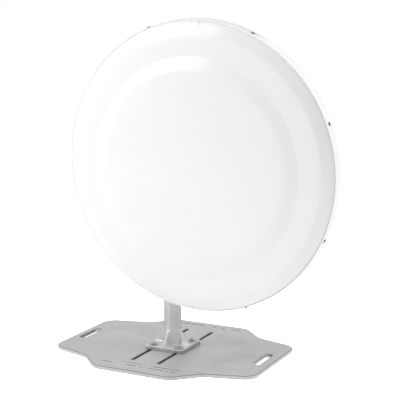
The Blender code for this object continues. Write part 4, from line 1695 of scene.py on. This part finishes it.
@dataclass
class Reflector:
    """The spun bowl, its rim band and the dark-ringed screws round the rim."""

    radius: float = 0.477
    front: float = 0.030
    focus: float = 0.344
    wall: float = 0.002
    rings: int = 22
    steps: int = 216
    edge_front: float = 0.0223
    edge_bend: float = 0.0015
    band_front: float = 0.0241
    band_back: float = 0.0384
    lip: float = 0.010
    lip_thick: float = 0.003
    screw_depth: float = 0.0170
    screw_first: float = math.radians(20.0)
    screw_radius: float = 0.0056
    screw_height: float = 0.0038
    screws: int = 8

    def depth(self, radius: float) -> float:
        """Depth of the bowl's front face at a radius."""
        return self.front + (self.radius**2 - radius**2) / (4 * self.focus)

    def build(self, radome: Radome) -> None:
        """Model and dress bowl, band and screws.

        Args:
            radome: gives the sizes of the rim.
        """
        self.build_bowl(radome.radius)
        self.build_band(radome)
        self.build_screws(radome)

    def build_bowl(self, edge: float) -> None:
        """The bowl's back face, spun with its rolled edge and given its wall.

        Args:
            edge: radius of the edge.
        """
        line = []
        for k in range(self.rings + 1):
            radius = self.radius * k / self.rings
            slope = radius / (2 * self.focus)
            normal = Vector((slope, 0, 1)).normalized() * self.wall
            line.append((radius + normal.x, self.depth(radius) + normal.z))
        back = self.front + self.wall
        line += [(edge - self.edge_bend, back), (edge, back - self.edge_bend)]
        bowl = Piece.turned("reflector_bowl", [*line, (edge, self.edge_front)], self.steps)
        bowl.wall(self.wall).settle(ON_DISH).paint(SHADED_BOWL_FINISH).hand_over("reflector")

    def build_band(self, radome: Radome) -> None:
        """The band behind the ring, its back edge turned inward.

        Args:
            radome: gives the sizes of the rim.
        """
        front, back = self.band_front, self.band_back
        inner = radome.radius + GAP
        outer = radome.rim_radius
        lip = outer - self.lip
        line = [(inner, front), (outer - 0.0005, front), (outer, front + 0.0005)]
        line += [(outer, back - 0.0022), (outer - 0.0007, back - 0.0007), (outer - 0.0022, back)]
        line += [(lip + 0.0008, back), (lip, back - 0.0008), (lip, back - self.lip_thick)]
        line += [(inner, back - self.lip_thick)]
        band = Piece.turned("rim_band_ring", line, self.steps, is_ring=True).settle(ON_DISH)
        band.paint(RING_FINISH).hand_over("rim_band")

    def build_screws(self, radome: Radome) -> None:
        """Screws round the ring: a dark sealing ring and a light crown with its socket.

        Args:
            radome: gives the sizes of the ring.
        """
        radius, height = self.screw_radius, self.screw_height
        hole, rise = radius * 0.60, height * 0.62
        line = [(hole, GAP), (radius, GAP), (radius, height * 0.35)]
        line += [(radius * 0.84, rise), (hole, rise)]
        ring = Piece.turned("screw_ring_pattern", line, 32, is_ring=True).paint(DARK_FINISH)
        side = radius * 0.58
        line = [(0, height), (radius * 0.42, height), (side, height * 0.86), (side, GAP), (0, GAP)]
        crown = Piece.turned("screw_crown_pattern", line, 32)
        crown.cut(hexagon("screw_socket", radius * 0.22, height * 0.55, height * 2))
        slope = math.atan((radome.rim_radius - 2 * GAP - radome.ring_front) / radome.ring_back)
        face = radome.ring_front + math.tan(slope) * self.screw_depth
        stand = shift(face, 0, self.screw_depth) @ turn(QUARTER_TURN + slope, "Y")
        places = {}
        for k in range(self.screws):
            angle = self.screw_first + FULL_TURN * k / self.screws
            places[f"rim_screw_{k + 1}"] = ON_DISH @ turn(-angle, "Z") @ stand
        set_out({"ring": ring, "crown": crown.paint(SCREW_FINISH)}, places)


@dataclass
class Hub:
    """The cast hub on the bowl's back, its plate, the feed boss and the hub bolts."""

    inner: float = 0.058
    outer: float = 0.105
    back: float = 0.2100
    plate_radius: float = 0.125
    plate_thick: float = 0.006
    plate_hole: float = 0.036
    plate_edge: float = 0.0009
    boss_radius: float = 0.030
    boss_back: float = 0.246
    boss_flange: float = 0.066
    boss_flange_thick: float = 0.008
    boss_corner: float = 0.006
    boss_edge: float = 0.0006
    boss_foot: float = 0.002
    boss_tapped: float = 0.0235
    tapped_radius: float = 0.0022
    tapped_floor: float = 0.001
    bore: float = 0.009
    bore_depth: float = 0.034
    groove: Trio = (0.0135, 0.0155, 0.0015)
    bolt_place: float = 0.068
    bolt_radius: float = 0.004
    head_radius: float = 0.0075
    head_span: Pair = (0.0012, 0.0053)
    washer: Trio = (0.0074, 0.0030, 0.0013)
    bolt_seat: float = 0.2229
    bolt_end: float = 0.2030
    tapped_end: float = 0.2015

    def build(self, bowl: Reflector) -> None:
        """Model and dress the hub.

        Args:
            bowl: the reflector that it sits on.
        """
        self.build_ring(bowl)
        self.build_plate()
        self.build_boss(bowl)
        self.build_bolts()

    @staticmethod
    def back_face(bowl: Reflector, radius: float) -> float:
        """Depth of the bowl's back face at a radius."""
        return bowl.depth(radius) + bowl.wall * math.hypot(1, radius / (2 * bowl.focus)) + GAP

    def bolt_places(self) -> dict[str, Pair]:
        """Places of the hub bolts in the dish's own X and height, by row and side."""
        return square(("low", "high"), self.bolt_place, self.bolt_place)

    def build_ring(self, bowl: Reflector) -> None:
        """The cast ring with broken edges and tapped holes.

        Args:
            bowl: the reflector that it sits on.
        """
        inner, outer, back = self.inner, self.outer, self.back
        line = [(inner, self.back_face(bowl, inner)), (outer, self.back_face(bowl, outer))]
        line += [(outer, back - 0.0025), (outer - 0.0008, back - 0.0008), (outer - 0.0025, back)]
        line += [(inner + 0.0015, back), (inner, back - 0.0015)]
        ring = Piece.turned("hub_ring_casting", line, 96, is_ring=True)
        ring.bore(self.bolt_places().values(), self.bolt_radius + CLEARANCE, low=self.tapped_end)
        ring.settle(ON_DISH).paint(CAST_FINISH).hand_over("hub_ring")

    def build_plate(self) -> None:
        """The round plate behind the ring."""
        low = self.back + GAP
        plate = Piece.drum("hub_plate_disc", self.plate_radius, low, low + self.plate_thick, 96)
        plate.bore([MIDDLE], self.plate_hole, sides=64)
        plate.bore(self.bolt_places().values(), self.bolt_radius + CLEARANCE)
        plate.soften(self.plate_edge).settle(ON_DISH).paint(CAST_FINISH).hand_over("hub_plate")

    def build_boss(self, bowl: Reflector) -> None:
        """The feed boss with its square flange, guide mouth, seal groove and tapped holes.

        Args:
            bowl: the reflector that it sits on.
        """
        front = bowl.depth(0) + bowl.wall + GAP
        back = self.boss_back
        low = back - self.boss_flange_thick
        middle = (low + back) / 2
        radius = self.boss_radius
        line = [(0, front), (radius - self.boss_foot, front), (radius, front + self.boss_foot)]
        boss = Piece.turned("feed_boss_body", [*line, (radius, middle), (0, middle)], 64)
        half = self.boss_flange / 2
        flange = Piece.plate("boss_flange", rectangle(half, half, self.boss_corner), low, back)
        boss.cut(flange.soften(self.boss_edge), way=Way.JOIN)
        inner, outer, sunk = self.groove
        over = back + self.plate_thick
        line = [(inner, back - sunk), (outer, back - sunk), (outer, over), (inner, over)]
        boss.bore([MIDDLE], self.bore, sides=48, low=back - self.bore_depth)
        boss.cut(Piece.turned("groove_cut", line, 48, is_ring=True))
        tapped = rectangle(self.boss_tapped, self.boss_tapped, 0)
        places = [(corner.x, corner.y) for corner in tapped]
        boss.bore(places, self.tapped_radius, sides=20, low=low + self.tapped_floor)
        boss.settle(ON_DISH).paint(CAST_FINISH)
        axis = ON_DISH.to_3x3() @ Vector((0, 0, 1))

        def is_face(place: Vector, normal: Vector) -> bool:
            """Pick the machined back face."""
            return normal.dot(axis) > ALONG and (place - DISH_PLACE).dot(axis) > back - GAP / 2

        boss.paint(MACHINED_FINISH, is_face).hand_over("feed_boss")

    def build_bolts(self) -> None:
        """Four hexagon bolts with washers through bracket and plate."""
        seat = self.bolt_seat
        low, high = (seat + height for height in self.head_span)
        outer, hole, thick = self.washer
        bolt = hexagon("hub_bolt_pattern", self.head_radius, low, high, is_high=True)
        bolt.cut(
            washer("hub_washer", outer, hole, seat, seat + thick),
            Piece.drum("hub_shank", self.bolt_radius, self.bolt_end, seat + 0.002, sides=24),
            way=Way.JOIN,
        )
        places = self.bolt_places().items()
        stands = {f"hub_bolt_{name}": ON_DISH @ shift(x, -height) for name, (x, height) in places}
        set_out({"screw": bolt.paint(ZINC_FINISH)}, stands)


@dataclass
class TiltBracket:
    """The folded bracket on the hub and the two bolts that hold its wing."""

    wing_x: float = -0.1450
    thick: float = 0.006
    right: float = 0.105
    front: float = 0.2166
    half_height: float = 0.085
    wing_back: float = 0.330
    bend: float = 0.008
    corner: float = 0.030
    hole: float = 0.046
    pivot: Pair = (0.270, -0.045)
    lock_radius: float = 0.085
    swing: float = math.radians(14)
    arc_play: float = 0.0006
    arc_steps: int = 12
    end_steps: int = 8
    edge: float = 0.0007
    bolt_radius: float = 0.005
    head_radius: float = 0.0095
    head_height: float = 0.0064
    washer_radius: float = 0.0125
    washer_thick: float = 0.0018

    def build(self, hub: Hub) -> None:
        """Model and dress the bracket that is bolted to the hub, and its own bolts."""
        self.build_bracket(hub)
        self.build_bolts()

    def build_bracket(self, hub: Hub) -> None:
        """The bracket: a folded section pulled to its height, then cut and broken at its edges.

        Args:
            hub: gives the bolts' places.
        """
        back = self.front + self.thick
        inner_x = self.wing_x + self.thick
        outline = [
            Corner(self.wing_x, self.front, self.bend),
            Corner(self.right, self.front),
            Corner(self.right, back),
            Corner(inner_x, back, self.bend - self.thick),
            Corner(inner_x, self.wing_back),
            Corner(self.wing_x, self.wing_back),
        ]
        half = self.half_height
        bracket = Piece.plate("tilt_bracket_fold", outline, -half, half, steps=8)
        flat = turn(QUARTER_TURN, "X")
        sideways = turn(QUARTER_TURN, "Z") @ flat
        bracket.bore([MIDDLE], self.hole, sides=64, laid=flat)
        bracket.bore(hub.bolt_places().values(), hub.bolt_radius + CLEARANCE, laid=flat)
        bracket.bore([self.pivot], self.bolt_radius + CLEARANCE, sides=32, laid=sideways)
        bracket.cut(self.arc_cutter().settle(sideways))

        def is_back_corner(place: Vector, direction: Vector) -> bool:
            """Pick the short edges at the wing's back corners."""
            at_back = abs(place.y - self.wing_back) < TINY and abs(direction.x) > ALONG
            return at_back and abs(abs(place.z) - half) < TINY

        with bracket.editing(Part.EDGE, is_back_corner):
            bpy.ops.mesh.bevel(
                offset_type="OFFSET", offset=self.corner, segments=10, affect="EDGES"
            )
        bracket.soften(self.edge, FOLD_ANGLE).settle(DISH_FRAME)
        bracket.paint(BRACKET_FINISH).hand_over("tilt_bracket")

    def arc_cutter(self) -> Piece:
        """A cutter for the curved slot about the pivot.

        Returns:
            The cutter, drawn in depth and height.
        """
        radius = self.bolt_radius + self.arc_play
        points = []
        for way in (1, -1):
            for k in range(self.arc_steps + 1):
                angle = way * self.swing * (2 * k / self.arc_steps - 1) + DISH_TILT
                reach = self.lock_radius + way * radius
                points.append((-reach * math.sin(angle), reach * math.cos(angle)))
            end = way * self.swing + DISH_TILT
            x, y = -self.lock_radius * math.sin(end), self.lock_radius * math.cos(end)
            for k in range(1, self.end_steps):
                angle = end + way * QUARTER_TURN + HALF_TURN * k / self.end_steps
                points.append((x + radius * math.cos(angle), y + radius * math.sin(angle)))
        corners = [Corner(self.pivot[0] + x, self.pivot[1] + y) for x, y in points]
        over = 2 * self.thick
        return Piece.plate("arc_cut", corners, self.wing_x - over, self.wing_x + over)

    def bolt_middles(self) -> dict[str, Vector]:
        """Where the two bolts cross the wing, in the antenna's frame."""
        pivot = DISH_FRAME @ Vector((0, *self.pivot))
        return {"pivot_bolt": pivot, "lock_bolt": pivot + Vector((0, 0, self.lock_radius))}

    def build_bolts(self) -> None:
        """Pivot bolt and lock bolt: head, two washers, nut and thread."""
        right = DISH_PLACE.x + self.wing_x + self.thick + GAP
        left = DISH_PLACE.x + self.wing_x - self.thick - 2 * GAP
        right_face = right + self.washer_thick
        left_face = left - self.washer_thick
        far_left = left_face - self.head_height
        far_right = right_face + self.head_height
        hole = self.bolt_radius + GAP
        bolt = threaded("wing_thread", self.bolt_radius, far_left - 0.004, right_face + 0.001)
        head = hexagon("wing_head", self.head_radius, right_face, far_right, is_high=True)
        nut = hexagon("wing_nut", self.head_radius, far_left, left_face, is_low=True)
        wide = self.washer_radius
        patterns = {
            "screw": bolt.cut(head, way=Way.JOIN),
            "nut": nut.bore([MIDDLE], hole),
            "washer_a": washer("washer_left", wide, hole, left_face + GAP / 3, left),
            "washer_b": washer("washer_right", wide, hole, right, right_face - GAP / 3),
        }
        for pattern in patterns.values():
            pattern.paint(ZINC_FINISH)
        middles = self.bolt_middles().items()
        set_out(patterns, {node: shift(0, at.y, at.z) @ DEPTH_TO_X for node, at in middles})


@dataclass
class PostMount:
    """The bracket on the post, its two clamps and their threaded rods."""

    web_front: float = -0.0580
    web_left: float = -0.068
    wing_back: float = 0.046
    middle_z: float = 0.742
    half_height: float = 0.098
    clamp_offset: float = 0.070
    jaw_half_width: float = 0.063
    jaw_half_height: float = 0.019
    jaw_corner: float = 0.004
    front_jaw_back: float = -0.017
    rear_jaw_front: float = 0.007
    rear_jaw_back: float = 0.037
    rod_x: float = 0.0475
    rod_radius: float = 0.0049
    rod_front: float = -0.0705
    rod_back: float = 0.0560
    nut_radius: float = 0.0095
    nut_height: float = 0.0080
    jaw_edge: float = 0.0012
    flank_rise: float = 0.99
    pocket_border: float = 0.004
    pocket_slope: float = 0.0008
    pocket_depth: float = 0.0025

    def build(self, tilt: TiltBracket, foot: Foot) -> None:
        """Model and dress bracket, jaws and rods.

        Args:
            tilt: the bracket whose wing lies beside this one's.
            foot: gives the post's radius.
        """
        self.build_bracket(tilt)
        self.build_jaws(tilt, foot)
        self.build_rods()

    def rows(self) -> dict[str, float]:
        """Heights of the two clamps by name."""
        return {"low": self.middle_z - self.clamp_offset, "high": self.middle_z + self.clamp_offset}

    def rod_places(self) -> dict[str, Pair]:
        """The rods' places along X and up, by row and side."""
        places = square(("low", "high"), self.rod_x, self.clamp_offset)
        return {name: (x, self.middle_z + height) for name, (x, height) in places.items()}

    def build_bracket(self, tilt: TiltBracket) -> None:
        """The folded bracket that the clamps hold.

        Args:
            tilt: gives the fold, the thickness and the bolts.
        """
        right = DISH_PLACE.x + tilt.wing_x - GAP
        inner = right - tilt.thick
        web_back = self.web_front + tilt.thick
        outline = [
            Corner(self.web_left, self.web_front),
            Corner(right, self.web_front, tilt.bend),
            Corner(right, self.wing_back),
            Corner(inner, self.wing_back),
            Corner(inner, web_back, tilt.bend - tilt.thick),
            Corner(self.web_left, web_back),
        ]
        low, high = self.middle_z - self.half_height, self.middle_z + self.half_height
        bracket = Piece.plate("post_bracket_fold", outline, low, high, steps=8)
        rods = [(x, -height) for x, height in self.rod_places().values()]
        bracket.bore(rods, self.rod_radius + CLEARANCE, sides=32, laid=DEPTH_TO_Y)
        bolts = [(-at.z, at.y) for at in tilt.bolt_middles().values()]
        bracket.bore(bolts, tilt.bolt_radius + CLEARANCE, sides=32, laid=DEPTH_TO_X)
        bracket.soften(tilt.edge, FOLD_ANGLE).paint(BRACKET_FINISH).hand_over("post_bracket")

    def build_jaws(self, tilt: TiltBracket, foot: Foot) -> None:
        """Cast jaws with a round seat, rod holes and a pocket in each flank.

        Args:
            tilt: gives the bracket's thickness.
            foot: gives the post's radius.
        """
        front = (self.web_front + tilt.thick + GAP, self.front_jaw_back)
        rear = (self.rear_jaw_front, self.rear_jaw_back)
        half = self.jaw_half_height
        for part, (near, far) in (("front", front), ("rear", rear)):
            at = (0, (near + far) / 2)
            outline = rectangle(self.jaw_half_width, (far - near) / 2, self.jaw_corner, at)
            jaw = Piece.plate(f"{part}_jaw_pattern", outline, -half, half, steps=4)
            jaw.bore([(0, FOOT_Y)], foot.post_radius + GAP, sides=64)
            rods = [(side * self.rod_x, 0) for side in (-1, 1)]
            jaw.bore(rods, self.rod_radius + CLEARANCE, sides=32, laid=DEPTH_TO_Y)
            with jaw.editing(Part.FACE, lambda _place, normal: abs(normal.z) > self.flank_rise):
                bpy.ops.mesh.inset(thickness=self.pocket_border, depth=0.0)
                bpy.ops.mesh.inset(thickness=self.pocket_slope, depth=-self.pocket_depth)
            jaw.soften(self.jaw_edge).paint(CAST_FINISH)
            places = {f"{part}_jaw_{row}": shift(z=height) for row, height in self.rows().items()}
            set_out({"casting": jaw}, places)

    def build_rods(self) -> None:
        """Threaded rods, each with a nut at the web and one at the rear jaw."""
        front, back = self.web_front - GAP, self.rear_jaw_back + GAP
        radius, height = self.nut_radius, self.nut_height
        patterns = {
            "thread": threaded("rod_thread", self.rod_radius, self.rod_front, self.rod_back),
            "nut_front": hexagon("nut_front", radius, front - height, front, is_low=True),
            "nut_rear": hexagon("nut_rear", radius, back, back + height, is_high=True),
        }
        for ending, pattern in patterns.items():
            if ending != "thread":
                pattern.bore([MIDDLE], self.rod_radius + GAP / 2)
            pattern.paint(ZINC_FINISH)
        places = self.rod_places().items()
        stands = {f"clamp_rod_{name}": shift(x, 0, z) @ DEPTH_TO_Y for name, (x, z) in places}
        set_out(patterns, stands)


@dataclass(frozen=True)
class Lamp:
    """A soft light: its name, place, size and power, and whether it only gives a sheen."""

    name: str
    place: Trio
    size: Pair
    power: float
    is_sheen: bool = False


@dataclass
class Studio:
    """A pale floor, soft light and the camera."""

    camera_place: Trio = (1.8126, -3.3605, 1.2012)
    camera_down: float = math.radians(90 - 9.478)
    camera_turn: float = math.radians(26.854)
    lens: float = 95.308
    sensor: float = 36.0
    floor_size: float = 40.0
    floor_z: float = -0.0005
    floor_color: Trio = (0.8, 0.8, 0.8)
    floor_glow: float = 0.25
    floor_seen: float = 0.80
    ambient: float = 0.53
    shade: float = 0.33
    overhead: float = 0.68
    backlight: float = 0.68
    right_span: Pair = (-0.2, 0.7)
    over_span: Pair = (0.25, 0.85)
    back_span: Pair = (-0.2, 0.5)
    aim: Trio = (0.24, -0.29, 0.73)
    lamps: tuple[Lamp, ...] = (
        Lamp("key_light", (-2.30, -1.95, 3.00), (1.6, 1.6), 81.0),
        Lamp("rim_light", (2.9, 1.3, 3.4), (1.6, 2.4), 88.0),
        Lamp("sheen_light", (-2.66, -3.62, 3.08), (3.3, 3.0), 70.0, True),
    )

    def build(self) -> None:
        """Set floor, world, lights and camera."""
        bpy.context.scene.view_settings.view_transform = "Standard"
        self.build_floor()
        self.build_world()
        for lamp in self.lamps:
            self.build_lamp(lamp)
        self.build_camera()

    def build_floor(self) -> None:
        """The pale floor under the antenna."""
        clear_selection()
        bpy.ops.mesh.primitive_plane_add(size=self.floor_size, location=(0, 0, self.floor_z))
        floor = bpy.context.active_object
        floor.name = "studio_floor"
        material = bpy.data.materials.new(floor.name)
        graph = Graph(material)
        seen = graph.node("ShaderNodeLightPath", output="Is Camera Ray")
        strength = seen * (self.floor_seen - self.floor_glow) + self.floor_glow
        glow = graph.node("ShaderNodeEmission", None, {"Color": (1, 1, 1), "Strength": strength})
        matt = graph.node("ShaderNodeBsdfDiffuse", None, {"Color": self.floor_color})
        graph.show(graph.node("ShaderNodeAddShader", None, {0: glow, 1: matt}))
        floor.data.materials.append(material)

    def build_world(self) -> None:
        """A world that looks white and lights softly, stronger from behind the dish."""
        world = bpy.data.worlds.new("studio_world")
        bpy.context.scene.world = world
        graph = Graph(world)
        x, y, z = graph.axes(graph.node("ShaderNodeTexCoord", output="Generated"))
        color = graph.mix(
            (self.ambient,) * 3,
            ((self.shade,) * 3, graph.step(x, *self.right_span)),
            ((self.overhead,) * 3, graph.step(z, *self.over_span)),
            ((self.backlight,) * 3, graph.step(y, *self.back_span)),
            ((1.0,) * 3, graph.node("ShaderNodeLightPath", output="Is Camera Ray")),
        )
        back = graph.node("ShaderNodeBackground", None, {"Color": color})
        graph.show(back, "ShaderNodeOutputWorld")

    def build_lamp(self, lamp: Lamp) -> None:
        """Hang one light and aim it at the antenna.

        Args:
            lamp: the light.
        """
        clear_selection()
        bpy.ops.object.light_add(type="AREA", location=lamp.place)
        light = bpy.context.active_object
        light.name = lamp.name
        light.data.shape = "RECTANGLE"
        light.data.size, light.data.size_y = lamp.size
        light.data.energy = lamp.power
        light.visible_diffuse = not lamp.is_sheen
        light.visible_glossy = lamp.is_sheen
        way = Vector(self.aim) - light.location
        light.rotation_euler = way.to_track_quat("-Z", "Y").to_euler()

    def build_camera(self) -> None:
        """The camera at the fitted place."""
        clear_selection()
        bpy.ops.object.camera_add(
            location=self.camera_place, rotation=(self.camera_down, 0.0, self.camera_turn)
        )
        camera = bpy.context.active_object
        camera.data.sensor_width = self.sensor
        camera.data.lens = self.lens
        bpy.context.scene.camera = camera


def main() -> None:
    """Build the antenna and its studio."""
    logging.basicConfig(level=logging.INFO, format="%(message)s")
    Studio().build()
    foot = Foot()
    radome = Radome()
    bowl = Reflector()
    hub = Hub()
    tilt = TiltBracket()
    BasePlate().build()
    foot.build()
    radome.build()
    bowl.build(radome)
    hub.build(bowl)
    tilt.build(hub)
    PostMount().build(tilt, foot)


if __name__ == "__main__":
    main()
